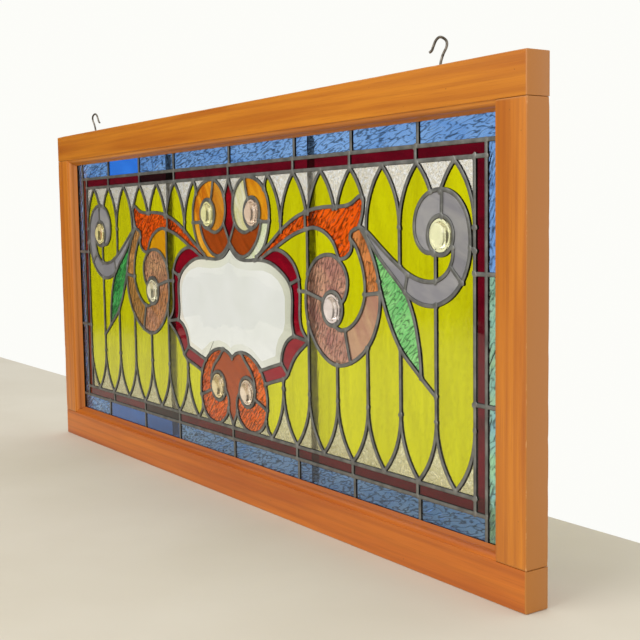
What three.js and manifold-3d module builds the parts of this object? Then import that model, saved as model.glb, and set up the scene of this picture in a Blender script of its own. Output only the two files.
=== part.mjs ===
// Leaded stained glass window: a softwood sash with a moulded inner edge holds one leaded panel. Blue and ruby
// borders frame rows of pointed lancets, with medallions, scrolls and leaves round a bevelled centre plate.
// Millimetres, +X along the width, the front faces -Y, +Z up. The origin is midway between the two screw hooks,
// at the height where they bear. The panel's pattern is drawn in x and z from the middle of the panel.
import * as THREE from 'three';
import { mergeVertices } from 'three/addons/utils/BufferGeometryUtils.js';
import Module from 'manifold-3d';

const wasm = await Module();
wasm.setup();

// Driving dimensions
const windowWidth = 1360;
const windowHeight = 620;
const sashDepth = 35;
const railFace = 49; // flat face of a rail, from its edge to the moulding
const stileFace = 48;
const mouldingWidth = 11.5;
const mouldingDepth = 16.5;
const lipThickness = 0.8; // wood left between the moulding and the panel's rebate
const rebateCover = 9.3; // how far the moulding overlaps the panel
const fit = 0.3; // gap between pieces that touch

const cameWidth = 5.5;
const cameDepth = 5.6;
const glassThickness = 3.2;
const edgeCameWidth = 8;
const solderJoint = 3.2; // radius of the solder where a lead line ends
const sideTolerance = 2.2; // how far the straight sides of a piece of glass may leave its curved outline
const shortestSide = 3;

const blueLine = { x: 597, z: 220 }; // lead between the blue and the ruby border
const rubyLine = { x: 577, z: 202 }; // lead between the ruby border and the field
const lancetPitch = 70.5;
const springing = 120; // height above the middle where a lancet's sides start to curve
const lancetTip = 200;
const spineEdge = 200.2; // the clear glass triangles join above this height, under the ruby line's lead

const jewelRing = 24; // radius of the lead line round a jewel
const jewelSides = 8;
const jewelRise = 7.5; // dome above the face of the glass
const plateTable = 2.5; // rise of the bevelled plate's table above its edge
const plateBevel = 10; // width of the slope round the table

const hookSpan = 519; // from the middle to each hook
const hookWire = 3.3;
const hookReach = 34.4; // from the top rail to the inside of the crook
const hookThread = 12; // length of the screw in the rail
const barThickness = 3;
const barDepth = 11;
const puttyRise = 10.5;

// Depths, from the front face at -sashDepth / 2 to the back
const frontY = -sashDepth / 2;
const backY = sashDepth / 2;
const panelFrontY = frontY + mouldingDepth + lipThickness + fit;
const panelBackY = panelFrontY + cameDepth;
const glassFrontY = panelFrontY + (cameDepth - glassThickness) / 2;
const glassBackY = glassFrontY + glassThickness;
const panelX = windowWidth / 2 - stileFace - mouldingWidth + rebateCover - fit; // half width of the panel
const panelZ = windowHeight / 2 - railFace - mouldingWidth + rebateCover - fit;
const panelCentreZ = -hookReach - windowHeight / 2;

// ---- solids from three.js geometry ----

function toSolid(geometry) {
  const bare = new THREE.BufferGeometry();
  bare.setAttribute('position', geometry.getAttribute('position').clone());
  if (geometry.index) bare.setIndex(geometry.index.clone());
  const merged = mergeVertices(bare, 1e-4);
  const corners = merged.index.array;
  const kept = [];
  for (let i = 0; i < corners.length; i += 3) {
    const [a, b, c] = corners.subarray(i, i + 3);
    if (a !== b && b !== c && c !== a) kept.push(a, b, c);
  }
  return new wasm.Manifold(new wasm.Mesh({
    numProp: 3,
    vertProperties: new Float32Array(merged.getAttribute('position').array),
    triVerts: new Uint32Array(kept),
  }));
}

function toGeometry(solid) {
  const { vertProperties, triVerts } = solid.getMesh();
  const geometry = new THREE.BufferGeometry();
  geometry.setAttribute('position', new THREE.BufferAttribute(vertProperties, 3));
  geometry.setIndex(new THREE.BufferAttribute(triVerts, 1));
  geometry.computeVertexNormals();
  return geometry;
}

const joined = (solids) => solids.reduce((whole, piece) => whole.add(piece));

// A flat shape drawn in x and z, standing from yFront to yBack.
function slab(shape, yFront, yBack) {
  const geometry = new THREE.ExtrudeGeometry(shape, { depth: yBack - yFront, bevelEnabled: false });
  geometry.rotateX(Math.PI / 2);
  geometry.translate(0, yBack, 0);
  return toSolid(geometry);
}

function block(xLow, xHigh, zLow, zHigh, yFront, yBack) {
  const geometry = new THREE.BoxGeometry(xHigh - xLow, yBack - yFront, zHigh - zLow);
  geometry.translate((xLow + xHigh) / 2, (yFront + yBack) / 2, (zLow + zHigh) / 2);
  return toSolid(geometry);
}

// ---- the lead pattern ----

const mirrored = (knots) => knots.map(([x, z]) => [-x, z]);

// A smooth line through the knots.
function smoothLine(knots) {
  const curve = new THREE.SplineCurve(knots.map(([x, z]) => new THREE.Vector2(x, z)));
  return curve.getPoints(knots.length > 2 ? 5 * (knots.length - 1) : 1);
}

// One side of a lancet: upright below the springing, then an arc that ends at the tip.
function lancetSide(base, side, foot, half) {
  const halfPitch = lancetPitch / 2;
  const rise = lancetTip - springing;
  const radius = (halfPitch ** 2 + rise ** 2) / lancetPitch;
  const start = Math.max(foot, springing);
  const steps = 12;
  const arc = Array.from({ length: steps + 1 }, (_, i) => {
    const z = start + ((lancetTip - start) * i) / steps;
    return [base + side * (radius - Math.sqrt(radius ** 2 - (z - springing) ** 2)), z];
  });
  const points = foot < springing ? [[base, foot], ...arc] : arc;
  return points.map(([x, z]) => new THREE.Vector2(x, half * z));
}

// The outline of a strip of even width along a line.
function ribbon(points, halfWidth) {
  const left = [];
  const right = [];
  points.forEach((point, i) => {
    const before = points[Math.max(i - 1, 0)];
    const after = points[Math.min(i + 1, points.length - 1)];
    const comes = point.clone().sub(before).normalize();
    const goes = after.clone().sub(point).normalize();
    const along = comes.clone().add(goes).normalize();
    const reach = halfWidth / Math.max(along.dot(i ? comes : goes), 0.6);
    const across = new THREE.Vector2(-along.y, along.x).multiplyScalar(reach);
    left.push(point.clone().add(across));
    right.unshift(point.clone().sub(across));
  });
  return new THREE.Shape([...left, ...right]);
}

function ringOutline(centre, radius, sides) {
  return Array.from({ length: sides }, (_, i) => {
    const angle = (2 * Math.PI * (i + 0.5)) / sides;
    return new THREE.Vector2(centre.x + radius * Math.cos(angle), centre.y + radius * Math.sin(angle));
  });
}

const jewels = {
  top_medallion: [71, 144],
  bottom_medallion: [46.5, -138.6],
  rose_scroll: [284.5, 8],
  grey_scroll: [515.5, 110.5],
};

// Lead lines between glass of different colours, right half; the left half mirrors them.
const outlines = {
  spindleTop: [[0, 200], [7, 185], [15, 172]],
  spindleFoot: [[17.5, 127], [9.5, 114], [3.5, 104.5], [0, 97]],
  medallionTop: [
    [84, 76.5], [103, 89.5], [115.5, 109.5], [121.5, 131], [121, 154], [111.5, 176], [92, 191.5], [69, 199],
    [49, 199.5], [37, 194.5], [24.5, 185], [15, 171], [11.3, 153], [13, 140], [19, 127], [30, 118.5],
    [46, 113.7], [58, 115.5], [70, 120],
  ],
  commaEdge: [[50, 199], [53, 187], [55.5, 176], [60, 165.5]],
  segmentFoot: [[91, 131.5], [106, 130], [121.5, 130.5]],
  crescentEdge: [
    [97, 130.8], [95.5, 121], [87, 104], [76, 92], [64.5, 83], [53, 77.8], [42, 75.6], [31, 76.8], [20, 81.5],
    [9.5, 89.5], [0, 98.5],
  ],
  plateTop: [
    [0, 92], [8, 84], [17, 77.5], [27, 73], [42, 70.5], [60, 70.3], [80, 71.5], [103, 71], [120, 68.5],
    [136, 63.5], [150, 57], [163, 49.5], [173, 41], [180, 30.5], [182.3, 18], [181.7, 0], [180.5, -14],
    [182, -27], [186, -38],
  ],
  platePetal: [[186, -38], [171, -44.5], [161, -52.5], [154.5, -62], [150.7, -72], [149, -83]],
  plateFoot: [[149, -83], [131.5, -87.5], [115, -92], [101.5, -96], [88, -99.5]],
  bandTop: [
    [97, 73.5], [112, 81], [123, 85.6], [137, 88.2], [150, 87], [164, 82.8], [176, 76.5], [187, 68], [195, 58],
    [199.8, 48], [201.8, 36.7], [202.8, 24], [202.3, 8], [201.7, -5], [203.2, -18], [208, -28.5], [222, -42],
  ],
  bandPetal: [[222, -44], [209, -52.7], [198, -60], [187, -69.5], [178, -80], [171.5, -90], [166.5, -97]],
  bandFoot: [[166.5, -97], [161, -102.3], [153, -105.8], [136.5, -110], [120, -114.2], [102.5, -119.5]],
  stalkTop: [
    [84, 76.5], [100.5, 85], [128.5, 101], [144.5, 111], [160, 120], [174.5, 127], [192, 134.5], [208, 139.6],
    [220, 142.3],
  ],
  stalkFoot: [
    [93, 72.5], [108.5, 79], [122.5, 84.8], [136.5, 90], [152.5, 97], [168.5, 103.5], [184.5, 109.5],
    [201, 114.2], [219.5, 118.3],
  ],
  leafTop: [
    [219.5, 142.2], [236, 146], [256, 148.3], [278, 149.4], [300, 149.2], [320, 150], [334, 153.5], [345, 159.2],
    [354, 162.5], [359.5, 157], [359, 147], [356.5, 136], [350.5, 122],
  ],
  leafFoot: [
    [219.5, 118.3], [229, 119.5], [240, 120.7], [253, 119], [266, 115], [278.5, 108.5], [288, 101], [294.5, 92.5],
    [298.5, 84], [303, 77],
  ],
  leafLobe: [[303, 77], [314, 78.5], [324, 82.8], [331, 90], [332.5, 97.5], [330.3, 104.5]],
  armTop: [[330.3, 104.5], [329.5, 111], [334.5, 116], [350.5, 121]],
  armEdge: [
    [290, -15.4], [301.5, -20.5], [314, -19.7], [327, -14.8], [341, -5], [352, 8], [359, 22], [361.7, 37],
    [360.5, 53], [356, 69], [349, 84], [341, 96], [330.3, 104.5],
  ],
  roseCap: [
    [219.5, 29], [220, 38], [223, 48], [228.5, 58.5], [237, 68.5], [248, 76.5], [262, 81.5], [276, 83],
    [291, 81], [304, 74.3], [315, 64], [320.7, 52], [321, 41], [317.8, 30], [312, 21], [305, 17],
  ],
  roseEdge: [
    [219.5, 29], [218.5, 14], [220.3, -2], [225, -17], [233.5, -33], [246, -48], [262, -60], [280, -68],
    [298, -70.5], [316, -67.5], [334, -61], [351, -51.5], [366, -39.3], [378, -25], [387, -7.5], [392.7, 10],
    [394.5, 28], [393, 44], [389, 60], [383, 75], [375, 90], [366, 105], [350.5, 122],
  ],
  greyTop: [
    [350.5, 122], [368.5, 114], [394.5, 96.3], [408.5, 87], [421, 79], [434, 71.5], [448.5, 63.7], [464.5, 57.5],
    [480.5, 54], [496, 53.3], [508.5, 55.2], [520, 60], [529, 67], [535, 75.5], [538.3, 85], [538.5, 96],
  ],
  greyEdge: [
    [350.5, 122], [366, 108.5], [388, 86.5], [402, 74], [416, 63], [430, 52], [446, 38.8], [458.5, 31.5],
    [473, 26.3], [488.5, 23.8], [504.5, 24.2], [520.5, 29], [536, 37], [548.5, 48], [558.5, 61], [565.5, 76.5],
    [569, 93], [569, 112], [565.5, 130], [558, 144.5], [546.5, 156.3], [532, 163.7], [518, 166], [504, 165],
    [491, 161], [480, 153.7], [471.5, 143], [466.8, 130], [466.3, 116], [470.5, 103.5], [478.5, 94.5],
    [489, 89.3], [503, 89],
  ],
  greenLeft: [
    [391.5, 50], [395, 39], [400.7, 25], [408, 9], [416.5, -7], [425.5, -21.5], [436, -35], [448, -46],
    [462, -56.5], [478, -68.5],
  ],
  greenRight: [[446, 38.8], [452.5, 30], [459.5, 16.5], [466.3, 0], [471.5, -20], [475.5, -40], [478, -68.5]],
  medallionFoot: [
    [0, -88], [11, -81], [22, -77.6], [37, -76.4], [52, -78.6], [65, -83.2], [77, -90.2], [88, -99.5],
    [96, -109], [102, -121], [105.6, -134], [107, -147], [106, -160], [102.3, -173.5], [95.5, -186],
    [85, -194.7], [71, -200], [55, -201.5], [41.5, -199.2], [29.5, -192.5], [19.5, -183.5], [13.7, -171],
    [12.8, -160], [16, -150], [24, -141],
  ],
  heartEdge: [[29, -76.8], [42, -90.5], [51.5, -98], [59.5, -105.3], [65.7, -113.5], [69.5, -123], [70.5, -134]],
  heartStem: [[14, -172], [9.5, -182], [3.5, -191], [0, -202]],
  fieldSplit: [[224.5, -16], [224.5, -46]],
};

// Lead lines inside one fused group of glass: they lie on its front and its back.
const seams = {
  bandHead: [[179, 38.5], [200.5, 46]],
  bandKnee: [[186, -38], [222, -42.5]],
  fieldBar: [[202, 29], [220, 28.7]],
  leafSeam: [[219.7, 142], [219.5, 118.5]],
  roseSeam: [[219.5, 29], [262, 19]],
  roseHeel: [[314.5, -20], [318.5, -36], [326.5, -64]],
  armSeam: [[360.5, 31], [394, 35]],
  orangeSeam: [[69, -147], [106, -160]],
  greyHead: [[519, 166], [518, 134]],
  greyHeel: [[536, 71], [554, 54.5]],
  leafTail: [[478, -68.5], [493, -79.5], [506.5, -88.5]],
  upper154: [[154, 116], [154, 131]],
  upper224: [[224.5, 119], [224.5, 54]],
  lower224: [[224.5, -44], [224.5, -122]],
  lower295: [[295, -70], [295, -122]],
  lower365: [[365.5, -40], [365.5, -122]],
  upper436: [[436, 71], [436, 122]],
  lower436: [[436, -35], [436, -122]],
  lower506: [[506.5, 24], [506.5, -122]],
};

// Sides of the lancets: base, direction in which they lean, foot, upper (1) or lower (-1) row.
const lancetSides = [
  [154, -1, 130, 1], [154, 1, 130, 1], [224.5, -1, 142, 1], [224.5, 1, 142, 1], [295, -1, 148, 1],
  [295, 1, 148, 1], [365.5, -1, 159, 1], [365.5, 1, 113, 1], [436, -1, springing, 1], [436, 1, springing, 1],
  [506.5, -1, 163, 1], [506.5, 1, 163, 1], [577, -1, 138, 1],
  ...[154, 224.5, 295, 365.5, 436, 506.5].flatMap((base) => [[base, -1, springing, -1], [base, 1, springing, -1]]),
  [577, -1, springing, -1],
];
const lancetStubs = [
  [[118.75, 201], [111.5, 190], [109, 179]],
  [[118.75, -201], [107.5, -190], [102, -178]],
];

const fieldLines = [
  ...Object.values(outlines).map(smoothLine),
  ...lancetSides.map(([base, side, foot, half]) => lancetSide(base, side, foot, half)),
  ...lancetStubs.map(smoothLine),
];
const seamLines = Object.values(seams).map(smoothLine);
const flipped = (points) => points.map((point) => new THREE.Vector2(-point.x, point.y)).reverse();
const bothHalves = (lines) => [...lines, ...lines.map(flipped)];
const bothJewels = Object.entries(jewels).flatMap(([name, [x, z]]) => [
  [`${name}_right`, [x, z]],
  [`${name}_left`, [-x, z]],
]);

const jewelHole = ([x, z]) => ringOutline(new THREE.Vector2(x, z), jewelRing - cameWidth / 2, jewelSides);

const beyond = 1; // cutting tools pass the faces by this much
const seamStep = 0.2; // a strip over fused glass lies this much behind the face of the lead

// The full-depth lead of the field.
function fieldLead() {
  const half = cameWidth / 2;
  const yFront = panelFrontY - beyond;
  const yBack = panelBackY + beyond;
  const lines = bothHalves(fieldLines);
  const strips = lines.map((points) => slab(ribbon(points, half), yFront, yBack));
  const joints = lines.flatMap((points) => [points[0], points[points.length - 1]]).map((end) => (
    slab(new THREE.Shape(ringOutline(end, solderJoint, 8)), yFront, yBack)));
  const rings = bothJewels.map(([, [x, z]]) => {
    const ring = new THREE.Shape(ringOutline(new THREE.Vector2(x, z), jewelRing + half, 2 * jewelSides));
    ring.holes.push(new THREE.Path(jewelHole([x, z])));
    return slab(ring, yFront, yBack);
  });
  const above = block(-panelX, panelX, spineEdge, panelZ, yFront - beyond, yBack + beyond);
  const below = block(-panelX, panelX, -panelZ, -spineEdge, yFront - beyond, yBack + beyond);
  return joined([...strips, ...joints, ...rings]).subtract(above).subtract(below);
}

// A closed rectangular wall, its middle line at half sizes x and z.
function frameLead(x, z, inner, outer, yFront, yBack) {
  const hole = block(-x + inner, x - inner, -z + inner, z - inner, yFront - beyond, yBack + beyond);
  return block(-x - outer, x + outer, -z - outer, z + outer, yFront, yBack).subtract(hole);
}

// The full-depth lead of the borders. Between ruby and clear glass only the heart of the came is full depth.
function borderLead() {
  const half = cameWidth / 2;
  const yFront = panelFrontY - beyond;
  const yBack = panelBackY + beyond;
  const heartX = rubyLine.x + half;
  const heartZ = rubyLine.z + half;
  const heart = heartZ - spineEdge - 3.6;
  const sides = [-1, 1].map((side) => {
    const x = side * rubyLine.x;
    return block(x - half, x + half, -heartZ, heartZ, yFront, yBack);
  });
  const levels = [-1, 1].map((side) => {
    const near = side * (heartZ - heart);
    const far = side * heartZ;
    return block(-heartX, heartX, Math.min(near, far), Math.max(near, far), yFront, yBack);
  });
  const blue = frameLead(blueLine.x, blueLine.z, half, half, yFront, yBack);
  const edge = frameLead(panelX, panelZ, edgeCameWidth, beyond, yFront, yBack);
  return joined([...sides, ...levels, blue, edge]);
}

// ---- outlines of the glass, found in the lead ----

// Joins loose edges, given as start -> end, into closed loops of points.
function chained(edges, pointAt) {
  const loops = [];
  while (edges.size) {
    const first = edges.keys().next().value;
    const loop = [];
    for (let at = first; edges.has(at);) {
      loop.push(pointAt(at));
      const next = edges.get(at);
      edges.delete(at);
      at = next;
    }
    loops.push(loop);
  }
  return loops;
}

// The outlines in x and z of a flat solid's front face.
function frontLoops(solid, yFront) {
  const { vertProperties, triVerts } = solid.getMesh();
  const edges = new Set();
  for (let i = 0; i < triVerts.length; i += 3) {
    const corners = [...triVerts.subarray(i, i + 3)];
    if (corners.every((corner) => Math.abs(vertProperties[3 * corner + 1] - yFront) < 1e-3)) {
      corners.forEach((corner, k) => edges.add(`${corner},${corners[(k + 1) % 3]}`));
    }
  }
  const rim = new Map();
  edges.forEach((edge) => {
    const [from, to] = edge.split(',').map(Number);
    if (!edges.has(`${to},${from}`)) rim.set(from, to);
  });
  return chained(rim, (at) => new THREE.Vector2(vertProperties[3 * at], vertProperties[3 * at + 2]));
}

// Keeps only the points that a closed outline needs within the tolerance.
function thinned(loop) {
  const distanceToChord = (point, from, to) => {
    const chord = to.clone().sub(from);
    const t = THREE.MathUtils.clamp(point.clone().sub(from).dot(chord) / chord.lengthSq(), 0, 1);
    return point.distanceTo(from.clone().addScaledVector(chord, t));
  };
  const keep = (points) => {
    const last = points.length - 1;
    let worst = sideTolerance;
    let at = 0;
    for (let i = 1; i < last; i += 1) {
      const distance = distanceToChord(points[i], points[0], points[last]);
      if (distance > worst) [worst, at] = [distance, i];
    }
    return at ? [...keep(points.slice(0, at + 1)), ...keep(points.slice(at))] : [points[0]];
  };
  const farthest = (from) => loop.reduce((best, point, i) => (
    point.distanceTo(from) > loop[best].distanceTo(from) ? i : best), 0);
  const start = farthest(new THREE.Vector2(0, 0));
  const turned = [...loop.slice(start), ...loop.slice(0, start)];
  const opposite = turned.indexOf(loop[farthest(loop[start])]);
  const kept = [...keep(turned.slice(0, opposite + 1)), ...keep([...turned.slice(opposite), turned[0]])];
  return kept.filter((point, i) => point.distanceTo(kept[(i + 1) % kept.length]) > shortestSide);
}

// Moves every side of a closed outline to its right by the distance.
function shifted(loop, distance) {
  return loop.map((point, i) => {
    const comes = point.clone().sub(loop[(i + loop.length - 1) % loop.length]).normalize();
    const goes = loop[(i + 1) % loop.length].clone().sub(point).normalize();
    const across = new THREE.Vector2(comes.y + goes.y, -comes.x - goes.x);
    return point.clone().addScaledVector(across, distance / Math.max(1 + comes.dot(goes), 0.08));
  });
}

// Every opening that the lead leaves, as an outline with the outlines of the islands inside it.
function leadOpenings(solid) {
  const loops = frontLoops(solid, panelFrontY).map(thinned).filter((loop) => loop.length > 2);
  const size = (loop) => Math.abs(THREE.ShapeUtils.area(loop));
  const turnOf = (loop) => Math.sign(THREE.ShapeUtils.area(loop));
  loops.sort((one, other) => size(one) - size(other));
  const turn = turnOf(loops[loops.length - 1]);
  const found = loops.filter((loop) => turnOf(loop) === turn).map((outer) => ({ outer, turn, inners: [] }));
  loops.filter((loop) => turnOf(loop) !== turn).forEach((inner) => {
    const around = found.find(({ outer }) => size(outer) > size(inner) && within(inner[0], outer));
    if (around) around.inners.push(inner);
  });
  return found;
}

// Even-odd test of a point against an outline.
function within(point, loop) {
  return loop.reduce((inside, from, i) => {
    const to = loop[(i + 1) % loop.length];
    const crosses = (from.y > point.y) !== (to.y > point.y)
      && point.x < from.x + ((to.x - from.x) * (point.y - from.y)) / (to.y - from.y);
    return crosses ? !inside : inside;
  }, false);
}

// The flat shape that fills an opening, less a gap all round.
function fillOf({ outer, inners, turn }, gap) {
  const shape = new THREE.Shape(shifted(outer, -turn * gap));
  shape.holes = inners.map((inner) => new THREE.Path(shifted(inner, -turn * gap)));
  return shape;
}

// ---- glass groups: name, a point inside, colour; those on the right half have a twin on the left ----

const centralGlass = [
  ['blue_border', [0, 235], '#5f92cf'],
  ['ruby_border', [0, 211], '#4f0c18'],
  ['clear_lancet_gaps_top', [154, 180], '#d9cfb4'],
  ['clear_lancet_gaps_bottom', [154, -180], '#d9cfb4'],
  ['ruby_spindle', [0, 150], '#7d0a1c'],
  ['russet_heart', [0, -110], '#8a3a12'],
];
const pairedGlass = [
  ['amber_comma', [32, 150], '#c9b85c'],
  ['amber_segment', [107, 160], '#b87a10'],
  ['opal_sickle', [107, 112], '#cbd6a2'],
  ['russet_crescent', [50, 95], '#8a3a16'],
  ['ruby_band', [150, 76], '#6a0a18'],
  ['orange_medallion', [88, -120], '#b8480c'],
  ['orange_leaf', [290, 135], '#c4500e'],
  ['rose_scroll', [255, 60], '#b08478'],
  ['grey_scroll', [480, 40], '#86858a'],
  ['green_leaf', [432, 0], '#74c078'],
  ['yellow_lancets_inner', [135, 150], '#b9b40c'],
  ['yellow_lancet_middle', [259.75, 170], '#b9b40c'],
  ['yellow_lancet_leaf_tip', [330.25, 170], '#b9b40c'],
  ['yellow_lancets_outer', [400.75, 150], '#b9b40c'],
  ['yellow_field_inner', [205, 90], '#b4ae0c'],
  ['yellow_crescent', [340, 45], '#b4ae0c'],
  ['yellow_field_outer', [541, -50], '#b9b40c'],
];
const plateSeed = [0, 0];
const glassGroups = [
  ...centralGlass,
  ...pairedGlass.flatMap(([name, [x, z], colour]) => [
    [`${name}_right`, [x, z], colour],
    [`${name}_left`, [-x, z], colour],
  ]),
];

const panelBlock = block(-panelX, panelX, -panelZ, panelZ, panelFrontY, panelBackY);
const openings = leadOpenings(panelBlock.subtract(fieldLead()).subtract(borderLead()));
const openingAt = ([x, z]) => openings.find(({ outer, inners }) => {
  const point = new THREE.Vector2(x, z);
  return within(point, outer) && !inners.some((inner) => within(point, inner));
});
const pane = (seed) => slab(fillOf(openingAt(seed), fit), glassFrontY, glassBackY);

// ---- the lead came: the panel with its openings cut, and strips on the face of the fused glass ----

const rubyBars = [-469.5, -329.5, -189.5, 0, 189.5, 329.5, 469.5];
const blueBarsTop = [-467.5, -329.5, -189.5, 4, 194, 334, 474];
const blueBarsBottom = [-491.5, -329.5, -189.5, 4, 194, 334, 474];
const sideBars = { right: [65.7, -88.7], left: [74, -74] };

function borderSeams() {
  const upright = (x, zLow, zHigh) => [[x, zLow], [x, zHigh]];
  const level = (z, xLow, xHigh) => [[xLow, z], [xHigh, z]];
  const edge = { x: panelX - 2, z: panelZ - 2 };
  return [
    ...rubyBars.flatMap((x) => [upright(x, rubyLine.z, blueLine.z), upright(x, -blueLine.z, -rubyLine.z)]),
    ...blueBarsTop.map((x) => upright(x, blueLine.z, edge.z)),
    ...blueBarsBottom.map((x) => upright(x, -edge.z, -blueLine.z)),
    ...sideBars.right.map((z) => level(z, rubyLine.x, edge.x)),
    ...sideBars.left.map((z) => level(z, -edge.x, -rubyLine.x)),
    level(blueLine.z, blueLine.x, edge.x),
    level(-blueLine.z, -edge.x, -blueLine.x),
    upright(-blueLine.x, blueLine.z, edge.z),
    upright(blueLine.x, -edge.z, -blueLine.z),
    level(rubyLine.z, rubyLine.x, blueLine.x),
    level(-rubyLine.z, -blueLine.x, -rubyLine.x),
    upright(-rubyLine.x, rubyLine.z, blueLine.z),
    upright(rubyLine.x, -blueLine.z, -rubyLine.z),
  ].map((ends) => ends.map(([x, z]) => new THREE.Vector2(x, z)));
}

function leadCame() {
  const seeds = [...glassGroups.map(([, seed]) => seed), plateSeed];
  const yFront = panelFrontY - beyond;
  const yBack = panelBackY + beyond;
  const cut = joined([
    ...seeds.map((seed) => slab(fillOf(openingAt(seed), 0), yFront, yBack)),
    ...bothJewels.map(([, centre]) => slab(new THREE.Shape(jewelHole(centre)), yFront, yBack)),
  ]);
  const strips = [...bothHalves(seamLines), ...borderSeams()].map((points) => (
    slab(ribbon(points, cameWidth / 2), panelFrontY + seamStep, glassFrontY - fit)));
  const overGaps = [-1, 1].map((side) => {
    const near = side * spineEdge;
    const far = side * (rubyLine.z + cameWidth / 2);
    return block(-rubyLine.x, rubyLine.x, Math.min(near, far), Math.max(near, far), panelFrontY, glassFrontY - fit);
  });
  return panelBlock.subtract(cut).add(joined(overGaps)).add(joined(strips));
}

// ---- jewels and the bevelled plate ----

// A round of glass with a domed front, set in its ring.
function jewel([x, z]) {
  const radius = jewelRing - cameWidth / 2 - fit;
  const shoulder = 0.72;
  const profile = [
    [0, glassBackY], [radius, glassBackY], [radius, glassFrontY], [shoulder * radius, glassFrontY - 0.62 * jewelRise],
    [0, glassFrontY - jewelRise],
  ].map(([r, y]) => new THREE.Vector2(r, -y));
  const geometry = new THREE.LatheGeometry(profile, jewelSides, Math.PI / jewelSides);
  geometry.rotateX(Math.PI);
  geometry.translate(x, 0, z);
  return geometry;
}

// The plate's table stands above its edge, with a broad bevel between them.
function bevelledPlate() {
  const half = [
    [0, 66], [26, 57.5], [60, 55], [105, 56], [130, 51], [147, 43], [159, 32], [166, 18], [165, -20], [160, -33],
    [146, -45], [138.5, -60], [137, -72], [112, -79.5], [96, -84], [84, -77], [66, -67], [37, -62], [12, -65.5],
    [0, -72],
  ];
  const table = new THREE.Shape([...half, ...mirrored(half).slice(1, -1).reverse()].map(([x, z]) => (
    new THREE.Vector2(x, z))));
  const geometry = new THREE.ExtrudeGeometry(table, {
    depth: 1, bevelEnabled: true, bevelThickness: plateTable, bevelSize: plateBevel - 1, bevelSegments: 1,
  });
  geometry.rotateX(Math.PI / 2);
  geometry.translate(0, glassFrontY + 1, 0);
  const behind = block(-panelX, panelX, -panelZ, panelZ, glassFrontY + 0.5, backY);
  return pane(plateSeed).add(toSolid(geometry).subtract(behind));
}

// ---- the sash ----

// The inner edge of a rail or stile from its flat face: quirk, ovolo, fillet, bevel, lip and rebate.
// Points are [u, d], u inward from the flat face and d back from the front.
function mouldingOutline() {
  const ovolo = [0, 1, 2, 3].map((step) => {
    const angle = (step * Math.PI) / 6;
    return [0.8 + 7 * Math.sin(angle), 11 - 8.5 * Math.cos(angle)];
  });
  const lip = mouldingDepth + lipThickness;
  const rebate = mouldingWidth - rebateCover;
  return [
    [-1, 0], [0, 0], [0.6, 2.5], ...ovolo, [8.2, 11.6], [mouldingWidth, mouldingDepth], [mouldingWidth, lip],
    [rebate, lip], [rebate, sashDepth], [-1, sashDepth],
  ];
}

// One sash member lying along x: a plain body, and a moulded edge whose ends are mitred at 45 degrees.
function sashMember(bodyLength, face, mouldedLength) {
  const outline = new THREE.Shape(mouldingOutline().map(([u, d]) => new THREE.Vector2(u, d)));
  const moulded = new THREE.ExtrudeGeometry(outline, { depth: 1, bevelEnabled: false });
  const position = moulded.getAttribute('position');
  for (let i = 0; i < position.count; i += 1) {
    const end = position.getZ(i) > 0.5 ? 1 : -1;
    const u = position.getX(i);
    position.setXYZ(i, end * (mouldedLength / 2 - Math.max(u, 0)), frontY + position.getY(i), -u);
  }
  const body = block(-bodyLength / 2, bodyLength / 2, 0, face, frontY, backY);
  return body.add(toSolid(moulded));
}

function screwHole(x) {
  const radius = (hookWire / 2 + fit) / Math.cos(Math.PI / 8);
  const hole = new THREE.CylinderGeometry(radius, radius, hookThread + 1, 8);
  hole.rotateX(Math.PI / 2);
  hole.translate(x, 0, railFace - (hookThread - 1) / 2);
  return toSolid(hole);
}

function topRail() {
  const rail = sashMember(windowWidth, railFace, windowWidth - 2 * stileFace);
  return rail.subtract(screwHole(hookSpan)).subtract(screwHole(-hookSpan));
}

// ---- small parts ----

// A ring of even section round the panel, as a grid of section points against the four corners.
function puttyRing() {
  const outer = { x: panelX, z: panelZ };
  const yBase = panelBackY + fit;
  const section = [[0, yBase], [0, yBase + puttyRise], [8, yBase + 1.2], [8, yBase]];
  const corners = [[1, 1], [-1, 1], [-1, -1], [1, -1]];
  const points = corners.flatMap(([sx, sz]) => section.map(([inset, y]) => (
    [sx * (outer.x - inset), y, sz * (outer.z - inset)])));
  const index = [];
  for (let c = 0; c < 4; c += 1) {
    for (let s = 0; s < 4; s += 1) {
      const a = c * 4 + s;
      const b = c * 4 + ((s + 1) % 4);
      const d = ((c + 1) % 4) * 4 + s;
      const e = ((c + 1) % 4) * 4 + ((s + 1) % 4);
      index.push(a, b, d, b, e, d);
    }
  }
  const geometry = new THREE.BufferGeometry();
  geometry.setAttribute('position', new THREE.Float32BufferAttribute(points.flat(), 3));
  geometry.setIndex(index);
  return geometry;
}

// Steel wire bent to a crook above a screw; it turns its tip towards the given direction in plan.
function screwHook(x, tipDirection) {
  const [tipX, tipY] = tipDirection;
  const route = [
    [0, -hookThread + fit], [0, -4], [0.3, 5], [3.2, 15], [7.4, 24], [7, 31], [0.6, 36], [-4.6, 32.5],
    [-8.3, 24.5], [-10, 20], [-13.3, 17.3],
  ].map(([across, up]) => new THREE.Vector3(-across * tipX, -across * tipY, up));
  const ring = Array.from({ length: 6 }, (_, i) => {
    const angle = (i * Math.PI) / 3;
    return new THREE.Vector2((hookWire / 2) * Math.cos(angle), (hookWire / 2) * Math.sin(angle));
  });
  const geometry = new THREE.ExtrudeGeometry(new THREE.Shape(ring), {
    steps: 12, bevelEnabled: false, extrudePath: new THREE.CatmullRomCurve3(route),
  });
  geometry.translate(x, 0, 0);
  return geometry;
}

function supportBar(x) {
  const length = 2 * (panelZ - 8 - fit);
  const geometry = new THREE.BoxGeometry(barThickness, barDepth, length);
  geometry.translate(x, panelBackY + fit + barDepth / 2, 0);
  return geometry;
}

// ---- assembly ----

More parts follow.
